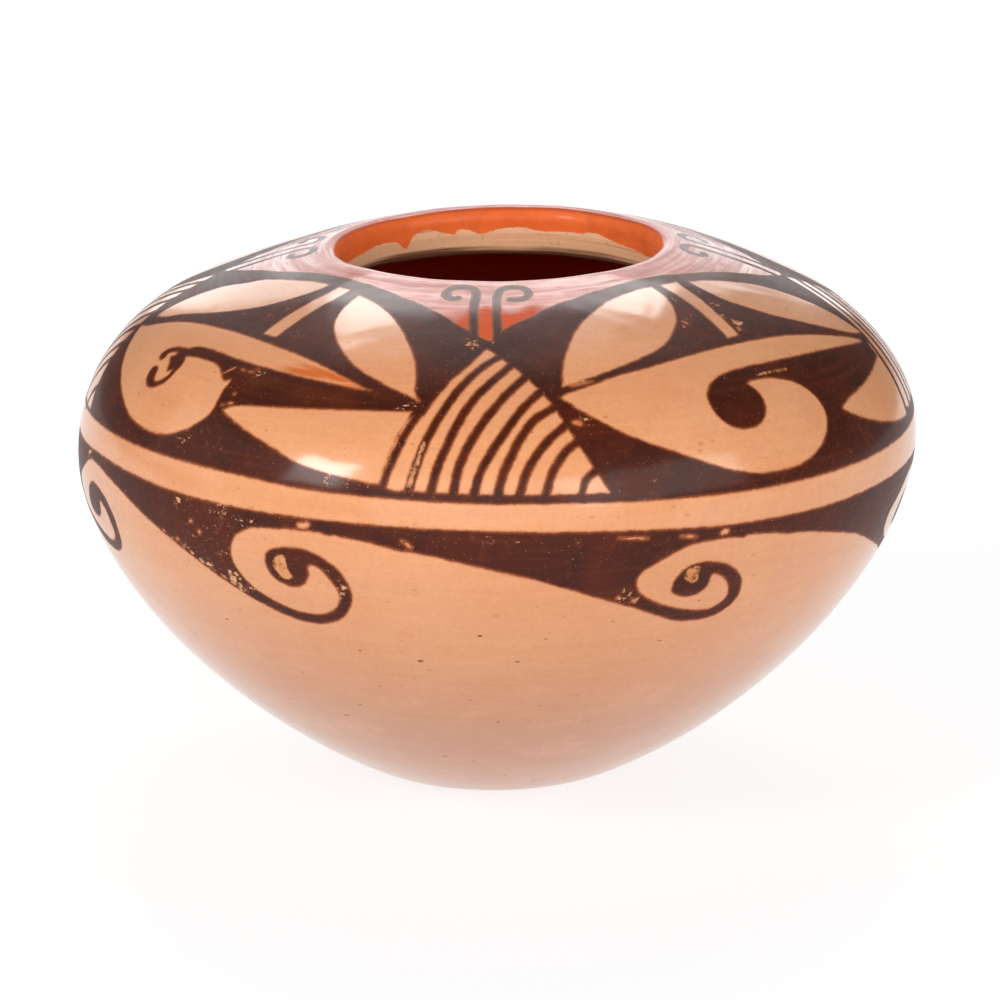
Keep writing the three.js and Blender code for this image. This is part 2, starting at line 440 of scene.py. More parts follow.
POD_L = [[(-84.8, 158.6), (-82, 160.2), (-80, 161.9), (-78, 163.9), (-76, 165.5), (-73, 167.7), (-70, 169.4), (-66, 170.9),
          (-62, 171.9), (-58, 172.6), (-54, 172.8), (-50, 172.7), (-46, 172.2), (-42, 171.5), (-38, 170.5), (-34, 169),
          (-30, 167), (-26, 164.6), (-22, 161.9), (-20.5, 161.1)],
         [(-20.5, 161.1), (-22, 161.2), (-26, 161.8), (-30, 162.4), (-36, 163.2), (-40, 163.6), (-43, 163.8), (-46, 164.1),
          (-50, 164.5), (-54, 164.8), (-56, 164.85), (-57.5, 164.7), (-59, 164.4), (-60, 164), (-60.8, 163.3), (-61.4, 162.5)],
         [(-61.4, 162.5), (-63, 162), (-64, 161.7), (-65, 161.2), (-66, 160.3), (-66.6, 159.2), (-66.9, 158), (-66.8, 157),
          (-66.3, 156.3), (-65.6, 155.95), (-65, 156.4), (-64.9, 157.3), (-65.1, 158.2), (-64.9, 158.9), (-64.2, 159.5),
          (-63.5, 159.9), (-62.9, 159.6), (-63, 158.9), (-63.8, 158.4)],
         [(-63.9, 158.1), (-63.3, 157.3), (-62.5, 156.3), (-61.9, 155.3), (-61.3, 154.2), (-60.9, 154.4), (-60.6, 155)],
         [(-60.4, 155), (-60.2, 154), (-60.3, 152.8), (-60.9, 151.7), (-61.8, 150.8), (-62.4, 150.6), (-62.9, 151), (-63.4, 152),
          (-63.7, 153), (-64.1, 153.9), (-64.7, 154.3), (-65.3, 154.2), (-65.7, 153.6), (-65.8, 152.6), (-65.5, 151.2),
          (-65, 150), (-64.3, 149.1), (-63.3, 148.6), (-62.4, 148.5), (-61.4, 149), (-60.5, 149.9), (-59.8, 151),
          (-59.4, 152.3), (-59.2, 153.8), (-59.1, 155.5), (-59, 157), (-59.2, 158.2), (-59.7, 159.3), (-60.2, 160)],
         [(-60.2, 160), (-58.5, 160.6), (-57, 160.95), (-55, 161.15), (-53, 161.15), (-51.7, 160.95), (-50.8, 160.4),
          (-49.8, 159.5), (-49, 158.6), (-48.2, 157.7), (-47.5, 156.95)],
         [(-47, 156.8), (-46.6, 157.4), (-46.2, 157.5)],
         [(-46, 157), (-46, 156), (-46.2, 155), (-46.2, 153.5), (-46.1, 151.9), (-45.9, 150.3), (-45.9, 148.6), (-46.2, 146.9),
          (-47.4, 144.5), (-49.2, 141.9), (-51.5, 139.9), (-54, 138.8), (-56.2, 138.4), (-59.2, 138.7), (-62, 139.4),
          (-64, 140.2), (-66, 141.5), (-70, 144.2), (-74, 147.3), (-77.5, 150.3), (-80, 152.8), (-82, 155.1), (-83.5, 156.7)]]
KEEL_L = [[(-44, 149.1), (-43, 150.2), (-42, 151), (-40, 151.6), (-37.8, 152.1), (-34, 152.8), (-30, 153.5), (-26, 154.2),
           (-20, 154.9), (-16, 155.3), (-13.2, 155.5)],
          [(-13.2, 155.5), (-13.5, 153.3), (-14.3, 149.7), (-15, 145.8), (-15.5, 141.9), (-15.9, 138.6), (-16.1, 136)],
          [(-16.1, 136), (-18, 136.1), (-20, 136.6), (-24, 137.6), (-27.5, 138.8), (-30, 140), (-32, 141.4), (-35, 143.3),
           (-38, 145), (-41, 146.9), (-43.3, 148.4)]]
WING_R1 = [[(10.2, 163.6), (10.5, 165.8), (11, 169.7), (11.5, 172.2), (12, 174.4), (13, 177.4), (14, 180.2), (15, 182.5),
            (16, 184.6), (18, 187.7), (20, 189.9), (22, 191.8), (24, 193.4), (26, 194.8), (28, 196), (30, 196.9), (34, 198.1),
            (38, 198.8), (42, 199.1), (44, 198.9)],
           [(44, 198.9), (43.9, 196.1), (43.7, 193.6), (43.2, 191.3), (42.3, 188.8), (41, 186.3), (39.8, 184.2), (38, 181.9),
            (36, 179.6), (34, 177.4), (32, 175.5), (30, 174.1), (28, 172.9), (26, 171.9), (24, 170.8), (22, 169.8), (20, 168.8),
            (18, 167.7), (16, 166.6), (14, 165.6), (12, 164.4)]]
BAR_R = [[(47.1, 198.7)], [(53, 198.1), (52.4, 194.7), (52, 190.8), (51.5, 186.9), (50.8, 183), (50.2, 179.1), (49.6, 175.2)],
         [(49.3, 173.4)], [(46.2, 173.4), (46.5, 174.9), (46.9, 178.6), (47.3, 183), (47.6, 186.9), (47.7, 191.3), (47.3, 195.2)]]
WING_R2 = [[(56.8, 196.8), (60, 195.7), (62, 194.9), (66, 192.6), (70, 189.6), (74, 185.8), (76, 183), (78, 179.6), (79.5, 176.1),
            (80.5, 172.4), (81.3, 168), (81.9, 163.6), (82.3, 160.2), (83, 156.9)],
           [(83, 156.9), (80, 158.3), (78, 159.7), (76, 161.4), (74, 163.5), (72, 165.6), (70, 167.8), (68, 170.2), (66, 172.6),
            (64, 175.2), (62, 178.4), (60, 181.9), (58.4, 184.9), (57.5, 187.6), (57, 190.8), (56.7, 194.1)]]
POD_R = [[(9.6, 160), (10.3, 161), (12, 161.9), (14, 163), (16, 164.1), (18, 165.2), (20, 166.2), (24, 167.3), (28, 168.5),
          (32, 169.5), (36, 170.2), (40, 170.7), (44, 170.9), (48, 170.7), (52, 170.2), (56, 169.4), (60, 168.2), (62, 167.3),
          (66, 165.3), (70, 162.9), (74, 160.3), (76, 158.8), (78, 157.2), (79.5, 155.8)],
         [(79.5, 155.8), (77, 156.3), (74, 157.3), (70, 158.6), (66, 159.8), (62, 160.8), (56, 161.8), (52, 162.3), (48, 162.7),
          (44, 162.9), (42, 162.8), (40, 162.5), (38, 161.9), (36.5, 161.1), (35, 159.7), (34, 158.2), (33.3, 156.3),
          (33.05, 153.8), (33.2, 151.9), (33.7, 149.8), (34.7, 147.7), (36, 146.3), (38, 145.7), (40, 146.3), (41.5, 148),
          (42.5, 150.2), (42.9, 152.4), (42.8, 154.7), (42.3, 156.5), (41.8, 157.6)],
         [(41.8, 157.9), (42.8, 158.35), (44, 158.4), (46, 158.1), (48, 157.3), (50, 156), (51.5, 154.4), (52.6, 152.4),
          (53.3, 150.2), (53.7, 147.6), (53.6, 145.2), (53.1, 143), (52, 140.4), (50.5, 138.2), (48.5, 136.2), (46.2, 134.8),
          (44, 134.1), (42, 133.9), (38, 134.2), (36, 134.8), (34, 135.8), (32, 137), (30, 138.5), (28, 140.2), (26, 141.9),
          (24, 143.6), (22, 145.2), (20, 147), (18, 148.9), (16, 151.3), (14, 153.8), (12, 156.4), (11, 158)]]
KEEL_R = [[(57.8, 144.2), (58.5, 144.8), (60, 145.6), (62, 146.3), (66, 147.1), (70, 148), (74, 149), (78, 149.8), (82, 150.5)],
          [(82, 150.5), (81.7, 148), (80.5, 144.1), (79.5, 140.2), (78.3, 136.9), (77.8, 133.8)],
          [(77.8, 133.8), (74, 134.2), (70, 135.5), (66, 137.3), (64, 138.5), (62, 140), (60, 141.7), (59, 142.9)]]
GABLE = [[(-13.6, 134.8), (-13.2, 140), (-12.4, 147), (-11, 154.9), (-10, 159.1), (-9, 162.4), (-8, 165.7), (-7, 168.1),
          (-6, 170.3), (-5, 172.6), (-4, 175.1), (-3, 177.6), (-2.3, 178.8)],
         [(-2.3, 178.8), (-0.4, 176), (1.6, 172.7), (3.9, 168.4), (6, 163.6), (8, 158.2), (9.3, 153.4), (10.7, 148.3),
          (12.7, 141), (14.8, 134.1)],
         [(14.8, 134.1), (0, 134.4)]]
# the outer strip of the gable, left of its first line, belongs to the same pale field
GABLE_EDGE = [[(-16.1, 136), (-15.9, 138.6), (-15.5, 141.9), (-15, 145.8), (-14.3, 149.7), (-13.4, 153.4)],
              [(-10.2, 154.9), (-11.6, 147), (-12.4, 140), (-12.8, 134.8)], [(-14.8, 135)]]
LINES = [
    ([(-12.1, 154.6), (-12.9, 151.4), (-13.6, 148.3), (-14.4, 143.6), (-15.1, 139.4), (-15.7, 135)], 1.6),
    ([(-12.1, 134), (-11.6, 138.6), (-11.1, 142.4), (-10.4, 147), (-9.3, 152.4), (-8.3, 156.4), (-7, 161.1), (-5.6, 165.3),
      (-4, 169.1), (-2.2, 172.5), (0.1, 175.6)], 1.75),
    ([(-9.1, 134), (-8.3, 141.3), (-7.2, 146.9), (-6.2, 151.9), (-4.7, 157.4), (-2.9, 162.3), (-1.3, 165.6), (0, 168.1), (2.2, 172)], 1.8),
    ([(-6.1, 134), (-5.4, 141.3), (-4, 147.6), (-2, 153.9), (0, 158.9), (2.2, 163.5), (4.6, 167.6)], 1.8),
    ([(-3.4, 133.6), (-2.6, 139.5), (-1.3, 144.1), (0, 148), (1.9, 153), (4, 157.9), (6.9, 162.7)], 1.75),
    ([(-0.2, 133.6), (0.3, 138), (1.4, 143), (3.2, 149), (5.3, 153.8), (8.6, 157.4)], 1.8),
    ([(2.6, 133.5), (3.7, 139.7), (5.5, 144.9), (7.5, 148.8), (10, 152.3)], 1.75),
    ([(6.1, 133.5), (7.1, 139.1), (8.4, 142.9), (9.9, 145.9), (11.5, 147.7)], 1.7),
    ([(10.9, 133.3), (11.7, 137.5), (13.3, 139.8)], 1.5),
]
HOOK_A = [(-5.2, 182.5), (-5.35, 187), (-5.8, 191), (-6.15, 195), (-6.4, 199), (-6.3, 202.5), (-6.7, 204.9), (-8, 206.4),
          (-10, 207), (-12.4, 206.8), (-14.3, 206), (-15.15, 204.4), (-15, 202.8), (-13.9, 201.6), (-12.3, 201.25), (-11.3, 201.6)]
HOOK_B = [(-0.35, 182.5), (-0.4, 188), (-0.5, 192), (-0.6, 196), (-0.6, 200), (-0.4, 203.4), (0.5, 205.9), (2.3, 206.95),
          (4.5, 207.05), (6.8, 206.5), (8.2, 205), (8.35, 203.3), (7.5, 201.8), (6, 200.85), (4.3, 200.7), (3.1, 200.9)]

# Panels: the two that face the front, and two behind that repeat them a little closer.
PANELS = [
    ("L", 0.0, 1.0, 0.0),
    ("R", 0.0, 1.0, 0.0),
    ("R", 92 + 2.3, 85.5 / 94.3, -2.3),
    ("L", 177.5 + 97.0, 85.5 / 94.7, -97.0),
]
SHAPES = {"L": [WING_L1, BAR_L, WING_L2, POD_L, KEEL_L], "R": [WING_R1, BAR_R, WING_R2, POD_R, KEEL_R]}
GABLES = [0.0, -94.7, 94.3, 179.8]


def t_curve():
    pts = []
    pts += [(a, s) for a, s in T_LEFT[:-1]]
    pts += [(a, s) for a, s in T_RIGHT[:-1]]
    k = 85.5 / 94.3
    pts += [(92 + (a + 1.8) * (85.5 / 93.8), s - 1.9 * max(0, 1 - (a + 1.8) / 40)) for a, s in T_RIGHT[:-1]]
    pts += [(177.5 + (a + 98) * (84.5 / 96.2), s) for a, s in T_LEFT[:-1]]
    return np.array(pts)


def periodic(points, at):
    """Value and slope per degree at the given degrees, from (degrees, value) points round the jar."""
    p = np.array(sorted(((a - 360 if a > 262.0 else a), s) for a, s in points))
    p = p[np.concatenate([[True], np.diff(p[:, 0]) > 0.05])]
    ext = np.vstack([p - [360, 0], p, p + [360, 0]])
    line = catmull(ext * [0.6, 1.0], 6) / [0.6, 1.0]
    x = line[:, 0]
    ok = np.concatenate([[True], np.diff(np.maximum.accumulate(x)) > 1e-6])
    line = line[ok]
    y = np.interp(at, line[:, 0], line[:, 1])
    y2 = np.interp(at + 0.25, line[:, 0], line[:, 1]); y1 = np.interp(at - 0.25, line[:, 0], line[:, 1])
    return y, (y2 - y1) / 0.5


BAND_TOP = [(-84, 133), (-74, 133.6), (-60, 133.9), (-40, 133.9), (-34, 133.6), (-28, 133), (-16, 132.6), (-6, 132.2),
            (0, 132.1), (10, 131.9), (20, 131.3), (34, 130.6), (48, 130.2), (62, 130.2), (78, 130.6), (88, 131.2),
            (105, 132.2), (130, 133.1), (158, 132.6), (190, 131.8), (220, 132.4), (250, 133.0)]
BAND_LOW = [(-78, 126.6), (-70, 127.1), (-60, 126.8), (-50, 126.2), (-40, 125.9), (-20, 125.9), (-10, 125.7), (0, 125.3),
            (10, 124.8), (20, 124), (30, 122.9), (40, 122.3), (50, 122), (60, 122.2), (72, 122.3), (88, 122.8),
            (108, 124), (138, 125.2), (168, 125.6), (198, 125.1), (228, 125.7), (258, 126.5)]

t_val, t_slope = periodic(t_curve(), ga)
b1_val, b1_slope = periodic(BAND_TOP, ga)
b2_val, b2_slope = periodic(BAND_LOW, ga)


def above(val, slope):
    """Distance above a line that runs round the jar, positive above it."""
    k = gr[:, None] * DEG
    return (gs[:, None] - val[None]) / np.sqrt(1 + (slope[None] / k) ** 2)


red_edge = above(t_val, t_slope)  # positive on the red neck
upper = np.maximum(red_edge, -above(b1_val, b1_slope))
pale = field()
for kind, move, wide, about in PANELS:
    for shape in SHAPES[kind]:
        put(pale, outline(*each(shape, lambda r: shifted(r, move, wide, about))))
gable = field()
for move in GABLES:
    put(gable, outline(*each(GABLE, lambda r: shifted(r, move))))
    put(gable, outline(*each(GABLE_EDGE, lambda r: shifted(r, move))))
pale = np.minimum(pale, gable)
black = np.maximum(upper, -pale)
for move in GABLES:
    for line, width in LINES:
        stroke(black, shifted(line, move), width * 1.28, (width * 1.42, width * 1.40))
    stroke(black, shifted(HOOK_A, move), 2.6, (2.6, 2.5))
    stroke(black, shifted(HOOK_B, move), 2.45, (2.4, 2.4))

# ---- the lower zone: pennants that each end in a scroll ----
# Each runs from the top of the loop before it, under the pennant, round the
# scroll, and to the top of its own loop.
PENNANT_1 = [
    [(-76, 124), (-73, 124.55), (-71, 124.4), (-69, 124.1), (-67, 123.5), (-65, 122.8), (-63, 122.1), (-61, 121.2), (-59, 120.1),
     (-57, 118.9), (-55, 117.6), (-53, 116.4), (-51, 115), (-49, 113.5), (-47, 112), (-45, 110.3), (-43, 108.5), (-41, 106.5),
     (-39, 104.6), (-37, 102.7), (-35, 100.9), (-33, 99.4), (-31.5, 98.2), (-30, 97.3), (-28, 96.4), (-26, 96.1), (-24.5, 96.4),
     (-23, 97.3), (-21.5, 99), (-20.5, 101), (-19.8, 103.5), (-19.4, 106), (-19.6, 108.5), (-20.2, 111), (-21, 113.3),
     (-22.4, 115.2), (-24, 116.8), (-25.5, 117.7), (-26.8, 118.1), (-28.2, 117.95), (-29.6, 117.6), (-30.8, 116.8), (-31.6, 115.6),
     (-31.9, 114), (-31.8, 112), (-31.3, 110), (-30.4, 108.4), (-29.2, 107.4), (-28, 107.1), (-27, 107.5), (-26.2, 108.6),
     (-25.6, 110.2), (-25.4, 112), (-25.5, 113.5)],
    [(-25, 114.2), (-24.3, 113.9), (-23.4, 112.8), (-22.4, 110.7), (-21.6, 108.4), (-21.2, 106), (-21.4, 104), (-22, 102.1),
     (-22.9, 100.7), (-24.2, 99.6), (-26, 99.1), (-28, 99.4), (-30, 100.3), (-32, 101.8), (-34, 103.7), (-35.2, 105.6),
     (-36.3, 108), (-37.2, 110.5), (-37.6, 113), (-37.5, 115.5), (-37, 118), (-36, 119.9), (-34.5, 121.3), (-33, 122),
     (-31, 122.3), (-28, 122.8), (-26, 122.9), (-24, 122.8), (-22, 122.6)],
]
PENNANT_2 = [
    [(-29, 122.7), (-26, 122.9), (-24, 122.8), (-22, 122.6), (-20, 122.2), (-18, 121.8), (-16, 121.2), (-14.5, 120.6), (-12.8, 119.9),
     (-11, 119.6), (-9, 119.1), (-7, 118.4), (-5, 117.5), (-3, 116.7), (-1, 115.8), (1, 114.9), (3, 113.9), (5, 112.9),
     (7, 111.7), (9, 110.4), (11, 109), (13, 107.5), (15, 106), (17, 104.6), (18.5, 103.5), (20, 102.4), (21, 101.5), (22, 100.6),
     (23, 99.7), (24, 98.9), (25, 98), (26, 97.3), (27, 96.8), (28.5, 96.4), (30, 96.2), (31.5, 96.3), (33, 96.9), (34.3, 98),
     (35.3, 99.6), (35.9, 101.4), (36.1, 103.5), (36, 105.5), (35.7, 107.3), (35, 109), (34.2, 110.4), (33, 111.8),
     (31.7, 112.8), (30.5, 113.4), (29, 113.8), (27.8, 113.7), (26.8, 113.2), (26, 112.3), (25.4, 111), (24.9, 109.5),
     (24.7, 107.8), (24.9, 106.4), (25.5, 105.4), (26.4, 104.7), (27.4, 104.4), (28.6, 104.6), (29.5, 105.4), (30.2, 106.8),
     (30.45, 108.5), (30.5, 109.7)],
    [(30.9, 110), (31.6, 109.6), (32.6, 108.5), (33.4, 106.9), (33.9, 105), (34.1, 103), (33.8, 101.6), (33.2, 100.5),
     (32.3, 99.6), (31.2, 99.2), (30, 99.3), (28.7, 99.7), (27.4, 100.3), (25.8, 101.2), (24.2, 102.3), (22.8, 103.5),
     (21.4, 105), (20.2, 106.8), (19.5, 108.6), (19.3, 110.5), (19.6, 112.4), (20.3, 113.6), (21, 114.3), (22, 115.3),
     (23.5, 116.8), (25, 118.2), (26.2, 119), (27.5, 119.3), (29, 119.45), (31, 119.5), (33, 119.4), (35, 119.1)],
]
# (drawing, its own loop tops and eyes, new eye before, new eye, loop-top heights there)
DRAWN = {1: (PENNANT_1, -71.8, -28.5, 124.5, 122.9), 2: (PENNANT_2, -28.5, 28.0, 122.9, 119.5)}
EYES = [(-71.8, 124.6), (-28.5, 122.9), (28.0, 119.5), (79.5, 119.0), (131.7, 121.3), (183.9, 121.7), (236.0, 122.7)]
USE = [2, 1, 2, 2, 1, 2, 1]


def lower_pennants(into, b2):
    for i, which in enumerate(USE):
        runs, e0, e1, t0, t1 = DRAWN[which]
        n1, top1 = EYES[i]
        n0, top0 = EYES[i - 1]
        if n0 > n1:
            n0 -= 360.0

        def fit(run):
            out = []
            for a, s in run:
                t = (a - e0) / (e1 - e0)
                # the scroll keeps its own width; the pennant takes up the rest
                keep = 10.5
                if a > e1 - keep:
                    na = n1 + (a - e1)
                elif a < e0 + 8:
                    na = n0 + (a - e0)
                else:
                    q = (a - (e0 + 8)) / ((e1 - keep) - (e0 + 8))
                    na = (n0 + 8) + q * ((n1 - keep) - (n0 + 8))
                c = min(1.0, max(0.0, t))
                out.append((na, s + (top0 - t0) * (1 - c) + (top1 - t1) * c))
            return out

        runs = [fit(r) for r in runs]
        a_end, a_start = runs[-1][-1][0], runs[0][0][0]
        xs = np.linspace(a_end, a_start, 40)
        top, _ = periodic(b2, xs)
        line = outline(*runs, [(float(a), float(s)) for a, s in zip(xs, top)])
        put(into, line)


lower = field()
lower_pennants(lower, BAND_LOW)
black = np.minimum(black, lower - 0.12)

# ---- paint that was missed or lost: small bare spots, and rubbed places ----
BARE = [  # centre, half sizes in degrees and mm, slant in degrees
    (-26.2, 124.1, 0.85, 0.9, 0), (18.4, 122.25, 1.9, 0.36, -6), (26.0, 121.3, 1.15, 0.4, -8), (31.5, 121.15, 0.62, 0.8, 10),
    (-74.0, 125.6, 0.7, 0.45, 20), (-47.8, 160.4, 0.16, 1.6, -38), (-45.3, 161.4, 0.5, 0.22, -15), (-43.5, 161.4, 0.5, 0.16, 0),
    (-42.6, 162.5, 0.3, 0.25, 0), (-43.6, 154.1, 0.24, 0.35, 0), (-43.3, 151.3, 0.5, 0.25, 20), (-44.6, 150.4, 0.3, 0.25, 0),
    (-11.8, 121.7, 0.8, 0.4, -30), (-5.8, 181.2, 0.25, 0.8, 10), (-4.8, 180.7, 0.3, 0.5, 0), (-44.7, 119.9, 0.28, 0.42, 0),
    (-43.1, 117.6, 0.25, 0.5, 0), (-47.6, 114.0, 0.4, 0.35, 0), (52.3, 178.2, 0.35, 0.8, 0), (51.2, 175.6, 0.3, 0.5, 0),
    (50.6, 181.4, 0.2, 0.9, 0), (41.0, 182.2, 0.35, 0.8, 30), (43.3, 192.6, 0.2, 0.6, 0), (19.4, 104.9, 0.3, 0.7, 20),
    (17.0, 106.2, 0.25, 0.35, 0), (11.5, 152.5, 0.7, 0.9, -30), (13.3, 164.3, 1.9, 0.4, 12),
]
RUBBED = [
    [(-30.3, 114.8), (-29.5, 115.8), (-28.9, 115.2), (-28.7, 113.5), (-28.4, 111.5), (-27.8, 110.2), (-28.2, 109.3),
     (-29.2, 108.9), (-30.2, 110.5), (-30.9, 112.8)],
    [(26.3, 111.5), (26.8, 112.8), (27.9, 113), (28.5, 112.3), (28.4, 110.5), (28.5, 109), (28, 108.3), (27.3, 108.4),
     (26.6, 109.6), (26.1, 110.6)],
    [(-12.35, 135.6), (-11.95, 138.6), (-11.45, 142.4), (-10.85, 146.4), (-10.5, 147.6), (-10.35, 146.4), (-10.85, 142.4),
     (-11.35, 138.6), (-11.8, 135.6)],
    [(44.3, 159.5), (46, 159.9), (49, 159.9), (52, 159.3), (51.5, 158.6), (49, 159), (46, 159.2)],
]
for a, s, ha, hs, turn in BARE:
    r = float(np.interp(s, gs, gr))
    th = np.linspace(0, 2 * math.pi, 18, endpoint=False)
    wob = 1 + 0.16 * np.cos(2 * th + a) + 0.12 * np.cos(3 * th + s)
    x = ha * DEG * r * np.cos(th) * wob
    y = hs * np.sin(th) * wob
    c, q = math.cos(turn * DEG), math.sin(turn * DEG)
    pts = np.column_stack([a + (x * c - y * q) / (DEG * r), s + x * q + y * c])
    spot = field()
    put(spot, pts)
    black = np.maximum(black, -spot)
rubbed = field()
for pts in RUBBED:
    put(rubbed, smooth_line(pts, closed=True))
# slivers along the lower edge of the first pennant and the inner edge of its scroll
for a, s, ha, hs, turn in [(-50.4, 115.2, 0.9, 0.26, -24), (-48.7, 114.1, 1.1, 0.32, -24), (-46.7, 112.5, 1.0, 0.34, -25),
                           (-45.0, 111.2, 0.9, 0.36, -26), (-43.3, 109.6, 1.2, 0.40, -28), (-41.4, 107.9, 1.1, 0.42, -28),
                           (-39.6, 106.2, 1.2, 0.48, -28), (-38.2, 104.9, 1.0, 0.50, -28), (-37.0, 104.6, 0.9, 0.42, -60),
                           (-36.3, 103.4, 0.9, 0.30, -30), (-21.0, 110.6, 0.9, 0.26, 80), (-20.6, 108.6, 0.8, 0.22, 85),
                           (-22.0, 103.6, 0.8, 0.22, 60), (18.6, 106.9, 0.9, 0.26, 60), (19.8, 105.2, 0.8, 0.24, 50)]:
    th = np.linspace(0, 2 * math.pi, 14, endpoint=False)
    x, y = ha * np.cos(th) * (1 + 0.2 * np.cos(3 * th + a)), hs * np.sin(th)
    c, q = math.cos(turn * DEG), math.sin(turn * DEG)
    k = float(np.interp(s, gs, gr)) * DEG
    put(rubbed, np.column_stack([a + (x * c - y * q) / k, s + x * q + y * c]))
for move in (131.7 + 28.5, 236.0 + 28.5):
    put(rubbed, smooth_line(shifted(RUBBED[0], move), closed=True))
for move in (79.5 - 28, 183.9 - 28, -71.8 - 28):
    put(rubbed, smooth_line(shifted(RUBBED[1], move, 0.55, 28 + move), closed=True))

# where the dark paint is worn or thin: (degrees, mm, radius mm, strength)
WORN = [
    (-47.5, 124.4, 2.2, 0.9), (-39, 124, 3.2, 1.0), (-36.3, 122.6, 2.2, 0.8), (-39.5, 113.5, 2.6, 1.0), (-38.8, 117, 2.2, 0.7),
    (-46, 112, 3.0, 0.9), (-42, 109, 3.2, 1.1), (-37.8, 107, 3.0, 1.3), (-35.5, 104.5, 2.0, 0.9), (-50.5, 123.3, 1.4, 0.6),
    (-20.6, 108.3, 2.0, 1.1), (-21.2, 105.8, 1.6, 1.2), (-30, 112, 2.0, 0.8), (-11.6, 121.4, 1.4, 1.0), (-1, 123, 1.8, 0.6),
    (2.6, 122.8, 1.6, 0.7), (10.8, 122.4, 0.8, 0.8), (17.6, 108.3, 1.4, 0.9), (17.2, 106, 1.5, 1.0), (19.2, 104.8, 1.3, 1.1),
    (34.5, 106, 1.8, 0.7), (-53, 191, 1.8, 0.9), (-52, 186.5, 1.6, 0.9), (-54.5, 182, 1.8, 0.7), (-42.5, 178, 1.6, 0.6),
    (-41.2, 199.6, 1.2, 1.0), (-50.5, 202, 1.2, 0.8), (42, 183, 2.0, 0.9), (40, 180.5, 1.6, 0.8), (44.4, 192, 1.4, 0.9),
    (51.4, 181, 1.8, 1.1), (52.4, 177.5, 1.8, 1.2), (50.8, 175, 1.5, 1.0), (53.4, 186, 1.6, 1.0), (54.4, 192, 1.5, 0.9),
    (67, 168.5, 1.6, 0.6), (-23.5, 136, 2.2, 1.2), (-27, 136.2, 1.6, 0.6), (-5, 181, 2.4, 1.1), (-1.5, 180.6, 1.4, 0.6),
    (-49, 139.6, 2.2, 0.9), (-46, 142, 1.6, 0.6), (-13, 163, 2.0, 0.7), (-14.5, 167.5, 1.6, 0.6), (-14, 157, 3.0, 0.9),
    (12.5, 153.5, 2.2, 0.9), (13, 164.5, 3.0, 0.9), (11.6, 160.6, 1.2, 0.6), (59, 143, 2.2, 0.8), (61, 140.6, 1.8, 0.7),
    (47, 133, 1.8, 0.5), (-44.5, 156, 3.0, 0.7), (-41.5, 161.6, 3.4, 0.8), (-30, 156.6, 3.0, 0.35), (21, 139, 3.4, 0.5),
    (-62, 179, 2.0, 0.6), (-12.1, 139, 2.0, 0.6), (-15, 141, 2.4, 0.8), (32, 138, 1.6, 0.5), (-69, 126, 2.2, 0.5),
    (-74, 125.4, 2.0, 0.8), (-63, 160.5, 1.8, 0.6), (-23.8, 135.8, 1.5, 0.9), (-21, 135.8, 1.4, 1.0), (-18, 135.8, 1.4, 0.8),
    (-14, 135.8, 1.6, 0.9), (-13, 147.5, 1.6, 0.9), (-12.4, 143.5, 1.6, 1.0), (-12.2, 140, 1.6, 1.0), (-11.5, 135, 1.4, 0.9),
    (-45, 125, 1.8, 0.9), (-41.2, 124.2, 2.0, 1.0), (-34.2, 122.2, 1.8, 0.8), (-53.5, 116.8, 1.8, 0.8), (-49.2, 113, 1.8, 1.0),
    (-45.5, 110, 1.8, 1.1), (-41.5, 106, 1.8, 1.2), (-37.2, 103.8, 1.8, 1.2), (-23, 113, 1.4, 0.9), (-22.5, 107.5, 1.4, 1.0),
    (-24.2, 104, 1.4, 0.9), (-26.8, 125.2, 1.5, 0.6), (-40, 118.5, 4.0, 0.5), (-44, 115.5, 4.0, 0.55),
]
worn = np.zeros_like(black)
more = np.random.default_rng(88)
behind = [(float(more.uniform(96, 262)), float(more.choice([more.uniform(98, 126), more.uniform(134, 200)])),
           float(more.uniform(1.4, 3.2)), float(more.uniform(0.5, 1.1))) for _ in range(64)]
for a, s, rad, strength in WORN + behind:
    for rows, cols, az in blocks(a, a, s, s, margin=rad * 2.6):
        k = (gr[rows] * DEG)[:, None]
        d2 = ((az[None] - a) * k) ** 2 + (gs[rows][:, None] - s) ** 2
        worn[rows, cols] = np.maximum(worn[rows, cols], strength * np.exp(-d2 / (rad * rad)))

# a broad dry brush mark of orange slip, seen on the first pod and once behind
smear = np.zeros_like(black)
for a, s, la, ls, turn in [(-28.6, 164.6, 8.0, 1.4, -14), (-33.2, 164.5, 5.5, 1.7, -2), (-22, 160.6, 6.0, 1.3, -6), (-34, 158.5, 12, 2.2, -4), (13.5, 164.2, 3.4, 0.8, 14),
                           (12.2, 153, 1.4, 1.6, 0), (200, 164, 8, 2, -10)]:
    r = float(np.interp(s, gs, gr))
    for rows, cols, az in blocks(a - la, a + la, s - ls, s + ls, margin=6):
        x = (az[None] - a) * (gr[rows] * DEG)[:, None]
        y = gs[rows][:, None] - s
        c, q = math.cos(turn * DEG), math.sin(turn * DEG)
        u, v = x * c + y * q, -x * q + y * c
        g = np.exp(-(np.abs(u / (la * DEG * r)) ** 2.4) - (v / ls) ** 2)
        smear[rows, cols] = np.maximum(smear[rows, cols], g)

